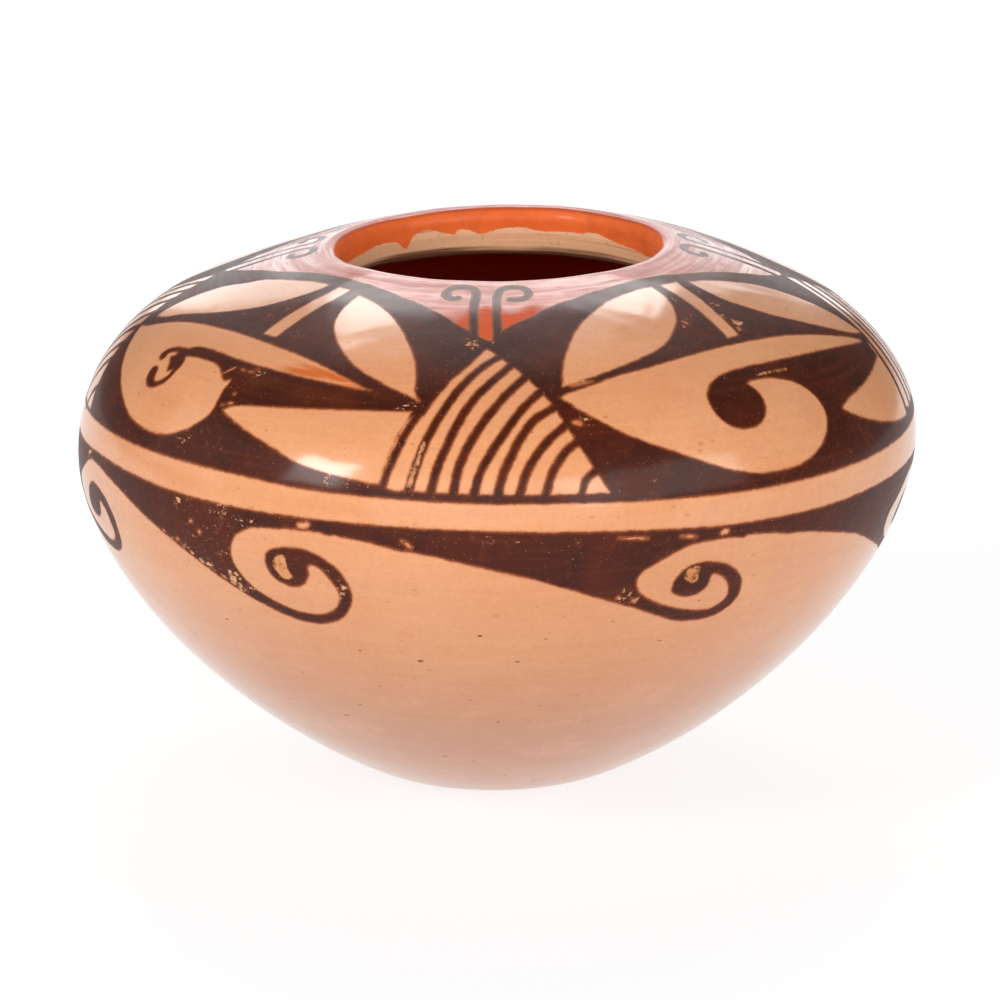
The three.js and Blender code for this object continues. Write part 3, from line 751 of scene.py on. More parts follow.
# burnt specks of temper that show through the slip: (degrees, mm, radius mm, strength)
FLECKS = [
    (-28.5, 57.5, 0.42, 1.0), (1.0, 59.5, 0.34, 1.0), (-5.0, 35.0, 0.38, 0.9), (3.2, 23.2, 0.38, 1.0), (13.2, 16.5, 0.38, 0.9),
    (-10.8, 85.8, 0.64, 0.75), (-1.8, 95.5, 0.46, 0.8), (3.7, 86.2, 0.46, 0.7), (-20.0, 88.0, 0.40, 0.6), (-3.7, 70.2, 0.36, 0.5),
    (-32.2, 75.8, 0.30, 0.6), (-40.0, 60.8, 0.34, 0.6), (-42.5, 91.5, 0.42, 0.6), (-54.2, 80.8, 0.34, 0.6), (-18.5, 74.2, 0.28, 0.5),
    (-11.5, 37.8, 0.50, 0.4), (25.0, 90.5, 0.32, 0.5), (7.5, 94.2, 0.30, 0.5), (-24.0, 64.2, 0.30, 0.5), (18.2, 58.2, 0.30, 0.5),
    (32.2, 41.2, 0.30, 0.5), (8.0, 67.5, 0.28, 0.4), (29.5, 102.5, 0.30, 0.4), (16.8, 98.8, 0.30, 0.5),
]
FLECKS += [(float(more.uniform(96, 262)), float(more.uniform(14, 104)), float(more.uniform(0.26, 0.5)), float(more.uniform(0.4, 1.0)))
           for _ in range(36)]
fleck_x = np.full((ROWS, COLS), 9.0); fleck_y = np.full((ROWS, COLS), 9.0); fleck_r = np.zeros((ROWS, COLS))
ring_r = np.where(R > 1, R, 1)[:, None] * DEG
for a, s, rad, strength in FLECKS:
    dx = ((np.degrees(AZ)[None] - a + 180) % 360 - 180) * ring_r
    dy = (ARC - s)[:, None] + 0 * dx
    near = (np.hypot(dx, dy) < 4.0) & (SIDE[:, None] < 0.5)
    fleck_x[near] = dx[near]; fleck_y[near] = dy[near]; fleck_r[near] = rad * (0.6 + 0.4 * strength)

# unburnished red slip in the point of each neck gable
dull = field()
DULL = [(-10.5, 188.5), (-9.6, 191.2), (-8.2, 193.6), (-7, 196.4), (-5.6, 196.2), (-4.4, 196.3), (-3.2, 196.8), (-1.9, 196.6), (-0.6, 196.0),
        (0.7, 195.4), (1.2, 194.4), (2.6, 194.3), (3.8, 194.6), (5.2, 195.3), (6.6, 196.2), (8.2, 196.7), (9.4, 196.1), (10.6, 195.3),
        (8, 190.5), (3, 185), (-2, 180.5), (-6, 184)]
for move in (GABLES[0], GABLES[3]):
    put(dull, smooth_line(shifted(DULL, move), closed=True))

# spread to all rows of the path
def whole(values, fill):
    out = np.full((ROWS, COLS), fill, float)
    out[LO_ROW:HI_ROW + 1] = values
    return out


a_black = whole(np.clip(black, -FAR, FAR), FAR)
a_red = whole(np.clip(red_edge, -FAR, FAR), -FAR)
a_worn = whole(worn, 0.0)
a_smear = whole(smear, 0.0)
a_rub = whole(np.clip(rubbed, -FAR, FAR), FAR)
a_dull = whole(np.clip(dull, -FAR, FAR), FAR)

# The red slip runs over the lip and a little way down its inner face, with drips:
# (degrees round the jar, height in mm).
INSIDE_EDGE = [
    (108.8, 129.8), (114.3, 129.6), (122.3, 130.0), (130, 130.5), (135.2, 131), (140.9, 132), (144.5, 132.1), (147.9, 131.4),
    (152.8, 131.3), (157.5, 131.2), (162.1, 131.1), (165.8, 131.2), (168.4, 131.6), (170.3, 131.9), (173.2, 132), (176.8, 131.9),
    (181.1, 131.4), (184, 130.8), (186.5, 130.4), (188.3, 130.7), (190.9, 131.7), (193.4, 132), (195.6, 131.8), (196.6, 130.7),
    (197.4, 130.8), (201.7, 131.8), (205.6, 132.7), (208.4, 133), (211.3, 132.7), (213.6, 132), (214.8, 130.5), (215.8, 129.2),
    (216.6, 128.6), (217.8, 129), (219.6, 130.4), (221.2, 131), (227.9, 131.6), (231.2, 131.3), (235.9, 130.8), (245.8, 130.1),
    (251.4, 130.0), (262, 130.6), (272, 131.5), (281, 131), (287, 129.6), (290, 130.9), (300, 131.7), (312, 131.2), (322, 130.3),
    (333, 131.3), (345, 131.9), (356, 131.2), (366, 130.4), (371, 129.0), (375, 130.8), (388, 131.6), (402, 131.0), (414, 130.2),
    (428, 131.2), (440, 131.8), (452, 131.0), (460, 130.3),
]
edge = np.array(INSIDE_EDGE)
edge = np.vstack([edge[-3:] - [360, 0], edge, edge[:3] + [360, 0]])
edge_at = np.interp(np.degrees(AZ) + np.where(np.degrees(AZ) < 108, 360, 0), edge[:, 0], edge[:, 1])
for row in np.nonzero(on_lip)[0]:
    flat = Z[row] - edge_at if R[row] < 42.6 else np.full(COLS, -3.0)
    if SIDE[row] < 0.9:
        flat = np.full(COLS, FAR)
    a_red[row] = np.clip(flat, -FAR, FAR)
a_red[(SIDE >= 1) & (ARC <= LENGTH)] = -FAR

# ---------------------------------------------------------------------------
# Materials
# ---------------------------------------------------------------------------


class Nodes:
    """A short way to write node trees."""

    def __init__(self, name):
        self.mat = bpy.data.materials.new(name)
        self.mat.use_nodes = True
        self.nt = self.mat.node_tree
        self.nt.nodes.clear()
        self.count = 0

    def new(self, kind, **props):
        n = self.nt.nodes.new(kind)
        n.location = (self.count % 12 * 190, -(self.count // 12) * 260)
        self.count += 1
        for k, v in props.items():
            setattr(n, k, v)
        return n

    def feed(self, socket, value):
        if isinstance(value, bpy.types.NodeSocket):
            self.nt.links.new(value, socket)
        elif isinstance(value, (tuple, list)):
            socket.default_value = tuple(value) + (1.0,) * (len(socket.default_value) - len(value))
        else:
            socket.default_value = value

    def attr(self, name):
        return self.new("ShaderNodeAttribute", attribute_name=name).outputs["Fac"]

    def math(self, op, a, b=None, c=None, clamp=False):
        n = self.new("ShaderNodeMath", operation=op, use_clamp=clamp)
        for i, v in enumerate((a, b, c)):
            if v is not None:
                self.feed(n.inputs[i], v)
        return n.outputs[0]

    def span(self, v, lo, hi, to_lo=0.0, to_hi=1.0, smooth=True):
        n = self.new("ShaderNodeMapRange", interpolation_type="SMOOTHSTEP" if smooth else "LINEAR", clamp=True)
        for i, x in enumerate((v, lo, hi, to_lo, to_hi)):
            self.feed(n.inputs[i], x)
        return n.outputs[0]

    def mix(self, f, a, b, how="MIX"):
        n = self.new("ShaderNodeMix", data_type="RGBA", blend_type=how, clamp_factor=True)
        self.feed(n.inputs[0], f); self.feed(n.inputs[6], a); self.feed(n.inputs[7], b)
        return n.outputs[2]

    def mixf(self, f, a, b):
        n = self.new("ShaderNodeMix", data_type="FLOAT", clamp_factor=True)
        self.feed(n.inputs[0], f); self.feed(n.inputs[2], a); self.feed(n.inputs[3], b)
        return n.outputs[0]

    def noise(self, vec, scale, detail=2.0, rough=0.5, distort=0.0):
        n = self.new("ShaderNodeTexNoise", noise_dimensions="3D")
        self.feed(n.inputs["Vector"], vec)
        self.feed(n.inputs["Scale"], scale); self.feed(n.inputs["Detail"], detail)
        self.feed(n.inputs["Roughness"], rough); self.feed(n.inputs["Distortion"], distort)
        return n.outputs["Fac"]

    def cells(self, vec, scale, random=1.0):
        n = self.new("ShaderNodeTexVoronoi", voronoi_dimensions="3D", feature="F1")
        self.feed(n.inputs["Vector"], vec); self.feed(n.inputs["Scale"], scale); self.feed(n.inputs["Randomness"], random)
        return n.outputs["Distance"], n.outputs["Color"]

    def stretch(self, pos, x, y, z, arc=None, off=(0, 0, 0)):
        """Position scaled by axis; with arc, its third axis is the place along the profile."""
        sep = self.new("ShaderNodeSeparateXYZ")
        self.feed(sep.inputs[0], pos)
        third = arc if arc is not None else sep.outputs[2]
        com = self.new("ShaderNodeCombineXYZ")
        for i, (v, k) in enumerate(((sep.outputs[0], x), (sep.outputs[1], y), (third, z))):
            m = self.math("MULTIPLY_ADD", v, float(k), float(off[i]))
            self.feed(com.inputs[i], m)
        return com.outputs[0]


def jar_surface(name, painted=True):
    g = Nodes(name)
    pos = g.new("ShaderNodeTexCoord").outputs["Object"]
    arc = g.attr("arc")        # millimetres along the profile
    side = g.attr("side")      # 0 outside, 1 inside

    # --- burnished peach slip -------------------------------------------
    cloud = g.noise(pos, 16.0, 3.0, 0.55)
    cloud2 = g.noise(pos, 46.0, 3.0, 0.6, 0.4)
    grain = g.noise(pos, 620.0, 3.0, 0.6)
    streak = g.noise(g.stretch(pos, 26, 26, 0.62, arc), 1.0, 4.0, 0.62)         # rubbing strokes, 2 mm apart
    hair = g.noise(g.stretch(pos, 70, 70, 2.6, arc, (3, 8, 1)), 1.0, 3.0, 0.6)     # finer ones
    slip = g.mix(g.span(cloud, 0.34, 0.66), SLIP_LIGHT, SLIP_WARM)
    slip = g.mix(g.math("MULTIPLY", g.span(cloud2, 0.42, 0.70), 0.42), slip, SLIP_ORANGE)
    low = g.span(arc, 112.0, 40.0)
    slip = g.mix(g.math("MULTIPLY", low, 0.80), slip, SLIP_LOW)
    blotch = g.noise(pos, 88.0, 3.0, 0.6)
    dust = g.noise(pos, 1700.0, 2.0, 0.6)
    slip = g.mix(g.math("MULTIPLY", g.span(blotch, 0.50, 0.72), 0.45), slip, SLIP_PINK)
    tone = g.math("ADD", g.math("MULTIPLY", g.math("SUBTRACT", streak, 0.5), 0.15),
                  g.math("ADD", g.math("MULTIPLY", g.math("SUBTRACT", hair, 0.5), 0.15),
                         g.math("MULTIPLY", g.math("SUBTRACT", grain, 0.5), 0.20)))
    tone = g.math("ADD", tone, g.math("MULTIPLY", g.math("SUBTRACT", dust, 0.5), 0.10))
    # painted shade: the slip is made darker below the band and again over the top of the shoulder
    painted_shade_by_height = g.math("MULTIPLY", g.span(arc, 108.0, 142.0, 0.79, 0.955), g.span(arc, 172.0, 192.0, 1.02, 0.88))
    streaks_times_painted_shade = g.math("MULTIPLY", g.math("ADD", tone, 1.0), painted_shade_by_height)
    slip = g.mix(1.0, slip, g.new_grey(streaks_times_painted_shade), "MULTIPLY")

    # dark grains and burnt specks in the clay
    dist, rnd = g.cells(g.stretch(pos, 1, 1, 1), 105.0)
    sep = g.new("ShaderNodeSeparateColor"); g.feed(sep.inputs[0], rnd)
    size = g.math("MULTIPLY", g.math("POWER", sep.outputs[0], 5.0), 0.055)
    speck = g.span(g.math("SUBTRACT", dist, size), 0.012, -0.012)
    speck = g.math("MULTIPLY", speck, g.span(sep.outputs[1], 0.42, 0.60, 0.0, 0.75))
    fx, fy = g.attr("fleck_x"), g.attr("fleck_y")
    fx, fy = g.math("MULTIPLY", fx, 0.74), g.math("MULTIPLY", fy, 1.30)
    away = g.math("SQRT", g.math("ADD", g.math("MULTIPLY", fx, fx), g.math("MULTIPLY", fy, fy)))
    away = g.math("ADD", away, g.math("MULTIPLY", g.math("SUBTRACT", g.noise(pos, 1300.0, 2.0, 0.6), 0.5), 0.5))
    fleck = g.span(g.math("SUBTRACT", away, g.attr("fleck_r")), 0.16, -0.14)
    speck = g.math("MAXIMUM", speck, fleck)
    dist2, rnd2 = g.cells(g.stretch(pos, 300, 300, 520, None, (5, 2, 7)), 1.0)
    sep2 = g.new("ShaderNodeSeparateColor"); g.feed(sep2.inputs[0], rnd2)
    fine = g.span(g.math("SUBTRACT", dist2, g.math("MULTIPLY", g.math("POWER", sep2.outputs[0], 9.0), 0.26)), 0.05, -0.04)
    smudge = g.noise(g.stretch(pos, 60, 60, 260, None, (1, 4, 2)), 1.0, 2.0, 0.5)
    smudge = g.math("MULTIPLY", g.span(smudge, 0.70, 0.80), 0.30)
    slip = g.mix(smudge, slip, (0.56, 0.19, 0.080))
    slip = g.mix(g.math("MULTIPLY", fine, 0.40), slip, (0.50, 0.155, 0.060))
    slip = g.mix(g.math("MULTIPLY", speck, 0.86), slip, (0.20, 0.055, 0.026))

    rough = g.math("ADD", ROUGH_SLIP, g.math("ADD", g.math("MULTIPLY", g.math("SUBTRACT", streak, 0.5), 0.22),
                                             g.math("MULTIPLY", g.math("SUBTRACT", cloud2, 0.5), 0.16)))
    colour = slip
    gloss = g.math("ADD", 0.86, g.math("MULTIPLY", g.math("SUBTRACT", streak, 0.5), 0.5), clamp=True)
    gloss = g.math("MULTIPLY", gloss, g.math("SUBTRACT", 1.0, g.math("MULTIPLY", speck, 0.8)))
    relief = g.math("ADD", g.math("MULTIPLY", streak, 0.010), g.math("MULTIPLY", hair, 0.004))
    relief = g.math("ADD", relief, g.math("MULTIPLY", grain, 0.0035))
    relief = g.math("SUBTRACT", relief, g.math("MULTIPLY", speck, 0.03))

    wipe = g.noise(g.stretch(pos, 9, 9, 0.85, arc, (1, 7, 3)), 1.0, 4.0, 0.7)
    wipe2 = g.noise(g.stretch(pos, 14, 14, 2.4, arc, (8, 7, 3)), 1.0, 3.0, 0.7)

    if painted:
        blk = g.attr("paint"); red = g.attr("red"); worn = g.attr("worn")
        smear = g.attr("smear"); rub = g.attr("rub"); dull = g.attr("dull")
        # edges of the brushwork: a slow waver, a quick one, and bristle marks
        w1 = g.math("MULTIPLY", g.math("SUBTRACT", g.noise(pos, 420.0, 2.0, 0.5), 0.5), 0.55)
        w2 = g.math("MULTIPLY", g.math("SUBTRACT", g.noise(pos, 1500.0, 2.0, 0.55), 0.5), 0.42)
        waver = g.math("ADD", w1, w2)
        d = g.math("ADD", blk, waver)
        cover = g.span(d, 0.10, -0.10)
        # --- red slip of the neck ---
        rs = g.noise(g.stretch(pos, 30, 30, 0.5, arc, (9, 1, 4)), 1.0, 4.0, 0.65)
        rc = g.noise(pos, 95.0, 4.0, 0.6, 0.6)
        redc = g.mix(g.span(rs, 0.34, 0.68), RED_A, RED_B)
        redc = g.mix(g.math("MULTIPLY", g.span(rc, 0.50, 0.74), 0.55), redc, RED_C)
        ragged = g.math("ADD", g.math("MULTIPLY", g.math("SUBTRACT", rs, 0.5), 6.5), g.math("MULTIPLY", g.math("SUBTRACT", rc, 0.5), 5.0))
        fresh = g.span(g.math("ADD", g.math("ADD", dull, ragged), g.math("MULTIPLY", waver, 3.2)), 1.7, -2.1)
        fresh = g.math("MULTIPLY", fresh, g.span(g.noise(g.stretch(pos, 150, 150, 0.9, arc, (5, 5, 1)), 1.0, 3.0, 0.6), 0.28, 0.46, 0.35, 1.0))
        redc = g.mix(g.math("MULTIPLY", fresh, 0.85), redc, RED_FRESH)
        thin = g.math("MULTIPLY", g.span(g.noise(g.stretch(pos, 55, 55, 1.3, arc, (2, 2, 9)), 1.0, 3.0, 0.7), 0.66, 0.80), 0.5)
        redc = g.mix(thin, redc, RED_PALE)
        # the lip's inner face gets a red much lighter than the outer red slip: painted light
        redc = g.mix(g.math("MULTIPLY", g.span(side, 0.55, 0.95), g.span(rc, 0.25, 0.60, 0.72, 1.0)), redc, RED_INSIDE_PAINTED_LIGHT)
        is_red = g.span(g.math("ADD", red, g.math("MULTIPLY", waver, 1.2)), -0.12, 0.12)
        colour = g.mix(is_red, colour, redc)
        rough = g.mixf(is_red, rough, g.math("ADD", ROUGH_RED, g.math("MULTIPLY", g.math("SUBTRACT", rs, 0.5), 0.20)))
        rough = g.mixf(g.math("MULTIPLY", g.math("MULTIPLY", fresh, is_red), 0.9), rough, 0.70)
        red_gloss = g.math("MULTIPLY", g.span(rs, 0.36, 0.62, 1.0, 0.56), g.span(rc, 0.34, 0.68, 1.0, 0.80))
        red_gloss = g.math("MULTIPLY", red_gloss, g.math("SUBTRACT", 1.0, g.math("MULTIPLY", fresh, 0.92)))
        lines = g.noise(g.stretch(pos, 120, 120, 2.6, arc, (3, 8, 6)), 1.0, 3.0, 0.65)
        red_gloss = g.math("MULTIPLY", red_gloss, g.span(lines, 0.50, 0.64, 1.0, 0.42))
        red_gloss = g.math("MULTIPLY", red_gloss, g.span(side, 0.02, 0.30, 1.0, 0.72))
        red_gloss = g.math("MULTIPLY", red_gloss, g.span(arc, 201.0, 206.5, 1.0, 0.86))
        red_gloss = g.math("MULTIPLY", red_gloss, g.span(side, 0.45, 0.90, 1.0, 0.25))
        gloss = g.mixf(is_red, gloss, red_gloss)
        relief = g.math("ADD", relief, g.math("MULTIPLY", g.math("MULTIPLY", g.math("ADD", rs, g.math("MULTIPLY", rc, 0.6)), is_red), 0.030))
        # --- orange brush mark ---
        sm = g.noise(g.stretch(pos, 60, 60, 1.1, arc, (4, 4, 4)), 1.0, 4.0, 0.7)
        smr = g.math("MULTIPLY", g.span(smear, 0.10, 0.95), g.span(g.math("ADD", sm, g.math("MULTIPLY", smear, 0.12)), 0.36, 0.58))
        colour = g.mix(g.math("MULTIPLY", smr, 0.94), colour, (0.66, 0.135, 0.015))
        # --- brown-black mineral paint ---
        stain = g.math("MULTIPLY", g.span(d, 0.62, 0.04), 0.72)
        colour = g.mix(stain, colour, (0.46, 0.130, 0.040))
        pn = g.noise(pos, 58.0, 4.0, 0.62, 0.8)
        ps = g.noise(g.stretch(pos, 34, 34, 0.9, arc, (7, 3, 5)), 1.0, 4.0, 0.66)
        ink = g.mix(g.span(pn, 0.32, 0.72), PAINT_A, PAINT_B)
        ink = g.mix(g.math("MULTIPLY", g.span(ps, 0.48, 0.78), 0.60), ink, PAINT_C)
        rim = g.math("MULTIPLY", g.span(d, -1.05, 0.0), g.span(g.noise(pos, 130.0, 2.0, 0.6), 0.30, 0.62))
        ink = g.mix(g.math("MULTIPLY", rim, 0.85), ink, PAINT_EDGE)
        inkrim = g.span(d, -0.62, 0.02)
        ink = g.mix(g.math("MULTIPLY", inkrim, 0.80), ink, PAINT_RUST)
        ink = g.mix(g.math("MULTIPLY", smr, 0.10), ink, (0.30, 0.070, 0.012))
        mott = g.noise(pos, 330.0, 3.0, 0.66)
        ink = g.mix(g.math("MULTIPLY", g.span(mott, 0.52, 0.74), 0.26), ink, PAINT_EDGE)
        flake = g.noise(pos, 760.0, 2.5, 0.62)
        streaky = g.noise(g.stretch(pos, 160, 160, 1.5, arc, (6, 1, 2)), 1.0, 3.0, 0.6)
        fl = g.math("ADD", g.math("MULTIPLY", flake, 0.62), g.math("MULTIPLY", streaky, 0.38))
        need = g.math("SUBTRACT", 0.698, g.math("MULTIPLY", worn, 0.175))
        chips = g.span(g.math("SUBTRACT", fl, need), 0.0, 0.035)
        halfworn = g.span(g.math("SUBTRACT", fl, need), -0.07, 0.03)
        ink = g.mix(g.math("MULTIPLY", halfworn, 0.6), ink, (0.26, 0.095, 0.045))
        pit = g.span(g.math("ADD", g.noise(pos, 1750.0, 2.0, 0.55), g.math("MULTIPLY", worn, 0.085)), 0.705, 0.750)
        ink = g.mix(g.math("MULTIPLY", pit, 0.62), ink, (0.62, 0.30, 0.15))
        ink = g.mix(g.math("MULTIPLY", chips, 0.88), ink, CHIP)
        rubn = g.noise(pos, 480.0, 3.0, 0.6)
        rubm = g.math("MULTIPLY", g.span(g.math("ADD", rub, g.math("MULTIPLY", waver, 1.5)), 0.25, -0.35), g.span(rubn, 0.30, 0.52))
        rubbed_col = g.mix(g.span(rc, 0.38, 0.62), (0.72, 0.34, 0.155), (0.60, 0.215, 0.070))
        ink = g.mix(g.math("MULTIPLY", rubm, 0.94), ink, rubbed_col)
        colour = g.mix(cover, colour, ink)
        rough_ink = g.math("ADD", ROUGH_PAINT, g.math("MULTIPLY", g.math("SUBTRACT", ps, 0.5), 0.26))
        rough_ink = g.mixf(chips, rough_ink, 0.62)
        rough = g.mixf(cover, rough, rough_ink)
        ink_gloss = g.math("ADD", g.span(arc, 127.0, 133.0, 0.17, 0.28), g.span(arc, 190.0, 197.0, 0.0, 0.30))
        ink_gloss = g.math("SUBTRACT", ink_gloss, g.span(arc, 145.0, 156.0, 0.0, 0.11))
        ink_gloss = g.math("MULTIPLY", ink_gloss, g.span(pn, 0.30, 0.70, 1.0, 0.60))
        gloss = g.mixf(cover, gloss, ink_gloss)
        thick = g.math("MULTIPLY", g.math("MULTIPLY", cover, g.math("SUBTRACT", 1.0, chips)), 0.022)
        relief = g.math("ADD", relief, thick)
        relief = g.math("ADD", relief, g.math("MULTIPLY", g.math("MULTIPLY", cover, ps), 0.012))

    # --- the inside: wiped clay lightened as painted light, with painted shade deeper in and under the lip's inner face, and red slip at the top ---
    # the inner clay's own buff, lightened as painted light
    clay = g.mix(g.span(wipe, 0.36, 0.64), CLAY_PAINTED_LIGHT_A, CLAY_PAINTED_LIGHT_B)
    clay = g.mix(g.math("MULTIPLY", g.span(wipe2, 0.56, 0.70), 0.78), clay, CLAY_LINE)
    # painted shade: the clay turns dark red deeper inside the jar
    painted_shade_depth = g.math("ADD", arc, g.math("MULTIPLY", g.math("SUBTRACT", cloud2, 0.5), 22.0))
    clay = g.mix(g.span(painted_shade_depth, 190.0, 165.0), clay, CLAY_DEEP_PAINTED_SHADE)
    # painted shade: a dark brown band with a streaky edge along the lower edge of the lip's upright inner face
    painted_shade_edge = g.math("ADD", arc, g.math("MULTIPLY", g.math("SUBTRACT", g.noise(pos, 30.0, 2.0, 0.5), 0.5), 7.0))
    painted_shade_edge = g.math("ADD", painted_shade_edge, g.math("ADD", g.math("MULTIPLY", g.math("SUBTRACT", wipe, 0.5), 5.0), g.math("MULTIPLY", g.math("SUBTRACT", wipe2, 0.5), 4.0)))
    clay = g.mix(g.math("MULTIPLY", g.span(painted_shade_edge, LENGTH + 12.0, LENGTH + 14.6), 0.92), clay, CLAY_PAINTED_SHADE)
    clay = g.mix(g.math("MULTIPLY", g.span(grain, 0.56, 0.72), 0.22), clay, (0.30, 0.125, 0.06))
    if painted:
        is_in = g.math("MULTIPLY", g.span(side, 0.90, 0.99), g.math("SUBTRACT", 1.0, is_red))
    else:
        is_in = g.span(side, 0.90, 0.99)
    colour = g.mix(is_in, colour, clay)
    rough = g.mixf(is_in, rough, 0.80)
    gloss = g.math("MULTIPLY", gloss, g.math("SUBTRACT", 1.0, is_in))
    relief = g.mixf(is_in, relief, g.math("ADD", g.math("MULTIPLY", wipe, 0.10), g.math("ADD", g.math("MULTIPLY", wipe2, 0.05), g.math("MULTIPLY", grain, 0.03))))

    # the foot: rubbed where it has stood
    if not painted:
        scuff = g.noise(pos, 210.0, 4.0, 0.7)
        foot = g.math("MULTIPLY", g.span(arc, 1.5, -3.0), g.math("SUBTRACT", 1.0, g.span(side, 0.4, 0.6)))
        foot = g.math("MULTIPLY", foot, g.span(scuff, 0.34, 0.60))
        colour = g.mix(g.math("MULTIPLY", foot, 0.75), colour, (0.50, 0.27, 0.155))
        rough = g.mixf(foot, rough, 0.72)
        gloss = g.math("MULTIPLY", gloss, g.math("SUBTRACT", 1.0, foot))

    bump = g.new("ShaderNodeBump")
    bump.inputs["Strength"].default_value = 1.0
    bump.inputs["Distance"].default_value = 0.001
    g.feed(bump.inputs["Height"], relief)
    bsdf = g.new("ShaderNodeBsdfPrincipled")
    g.feed(bsdf.inputs["Base Color"], colour)
    g.feed(bsdf.inputs["Roughness"], g.math("MAXIMUM", rough, 0.12))
    g.feed(bsdf.inputs["Normal"], bump.outputs["Normal"])
    bsdf.inputs["IOR"].default_value = 1.5
    bsdf.inputs["Specular IOR Level"].default_value = 0.13
    g.feed(bsdf.inputs["Coat Weight"], gloss)
    bsdf.inputs["Coat Roughness"].default_value = 0.13
    bsdf.inputs["Coat IOR"].default_value = 1.5
    bsdf.inputs["Metallic"].default_value = 0.0
    out = g.new("ShaderNodeOutputMaterial")
    g.feed(out.inputs["Surface"], bsdf.outputs["BSDF"])
    return g.mat


def _grey(self, v):
    com = self.new("ShaderNodeCombineColor")
    for i in range(3):
        self.feed(com.inputs[i], v)
    return com.outputs[0]


Nodes.new_grey = _grey

# colours, linear
SLIP_LIGHT = (0.850, 0.390, 0.185)
SLIP_WARM = (0.820, 0.350, 0.155)
SLIP_ORANGE = (0.790, 0.305, 0.120)
SLIP_PINK = (0.800, 0.345, 0.185)
SLIP_LOW = (0.560, 0.228, 0.108)
RED_A = (0.500, 0.078, 0.028)
RED_B = (0.400, 0.052, 0.020)
RED_C = (0.640, 0.125, 0.045)
RED_FRESH = (0.720, 0.100, 0.024)
RED_PALE = (0.720, 0.290, 0.170)
# red of the lip's inner face, lightened as painted light
RED_INSIDE_PAINTED_LIGHT = (0.985, 0.180, 0.040)
PAINT_A = (0.045, 0.0070, 0.0020)
PAINT_B = (0.085, 0.0135, 0.0036)
PAINT_C = (0.130, 0.0240, 0.0060)
PAINT_EDGE = (0.180, 0.0380, 0.0120)
PAINT_RUST = (0.300, 0.0750, 0.0200)
CHIP = (0.680, 0.340, 0.170)
# inner clay, lightened as painted light
CLAY_PAINTED_LIGHT_A = (0.960, 0.560, 0.320)
CLAY_PAINTED_LIGHT_B = (0.900, 0.490, 0.265)
CLAY_LINE = (0.420, 0.180, 0.085)
# painted shade under the lip's inner face
CLAY_PAINTED_SHADE = (0.170, 0.062, 0.030)
# painted shade deeper inside the jar
CLAY_DEEP_PAINTED_SHADE = (0.560, 0.062, 0.020)
ROUGH_SLIP, ROUGH_RED, ROUGH_PAINT = 0.34, 0.34, 0.50


def raw_clay(name):
    """The joints between the rings: scored, unslipped clay."""
    g = Nodes(name)
    pos = g.new("ShaderNodeTexCoord").outputs["Object"]
    a = g.noise(pos, 60.0, 4.0, 0.6)
    b = g.noise(pos, 700.0, 4.0, 0.7)
    score = g.noise(g.stretch(pos, 420, 420, 60), 1.0, 2.0, 0.5)
    c = g.mix(g.span(a, 0.35, 0.65), (0.52, 0.27, 0.150), (0.42, 0.215, 0.125))
    c = g.mix(g.math("MULTIPLY", g.span(b, 0.52, 0.68), 0.5), c, (0.26, 0.12, 0.07))
    c = g.mix(g.math("MULTIPLY", g.span(score, 0.56, 0.66), 0.5), c, (0.30, 0.14, 0.08))
    bump = g.new("ShaderNodeBump")
    bump.inputs["Strength"].default_value = 1.0
    bump.inputs["Distance"].default_value = 0.001
    g.feed(bump.inputs["Height"], g.math("ADD", g.math("MULTIPLY", b, 0.08), g.math("MULTIPLY", g.span(score, 0.5, 0.66), -0.15)))
    bsdf = g.new("ShaderNodeBsdfPrincipled")
    g.feed(bsdf.inputs["Base Color"], c)
    g.feed(bsdf.inputs["Roughness"], g.span(b, 0.3, 0.7, 0.82, 0.95))
    g.feed(bsdf.inputs["Normal"], bump.outputs["Normal"])
    out = g.new("ShaderNodeOutputMaterial")
    g.feed(out.inputs["Surface"], bsdf.outputs["BSDF"])
    return g.mat


MATS = {
    "burnished_buff_slip": jar_surface("burnished_buff_slip", False),
    "painted_slip": jar_surface("painted_slip", True),
    "red_neck_slip": jar_surface("red_neck_slip", True),
}
CORE = raw_clay("raw_clay_joint")

# ---------------------------------------------------------------------------
# Meshes: one closed ring for each solid
# ---------------------------------------------------------------------------
ATTRS = {"arc": ARC[:, None] + np.zeros((1, COLS)), "side": SIDE[:, None] + np.zeros((1, COLS)), "paint": a_black, "red": a_red,
         "worn": a_worn, "smear": a_smear, "rub": a_rub, "dull": a_dull,
         "fleck_x": fleck_x, "fleck_y": fleck_y, "fleck_r": fleck_r}


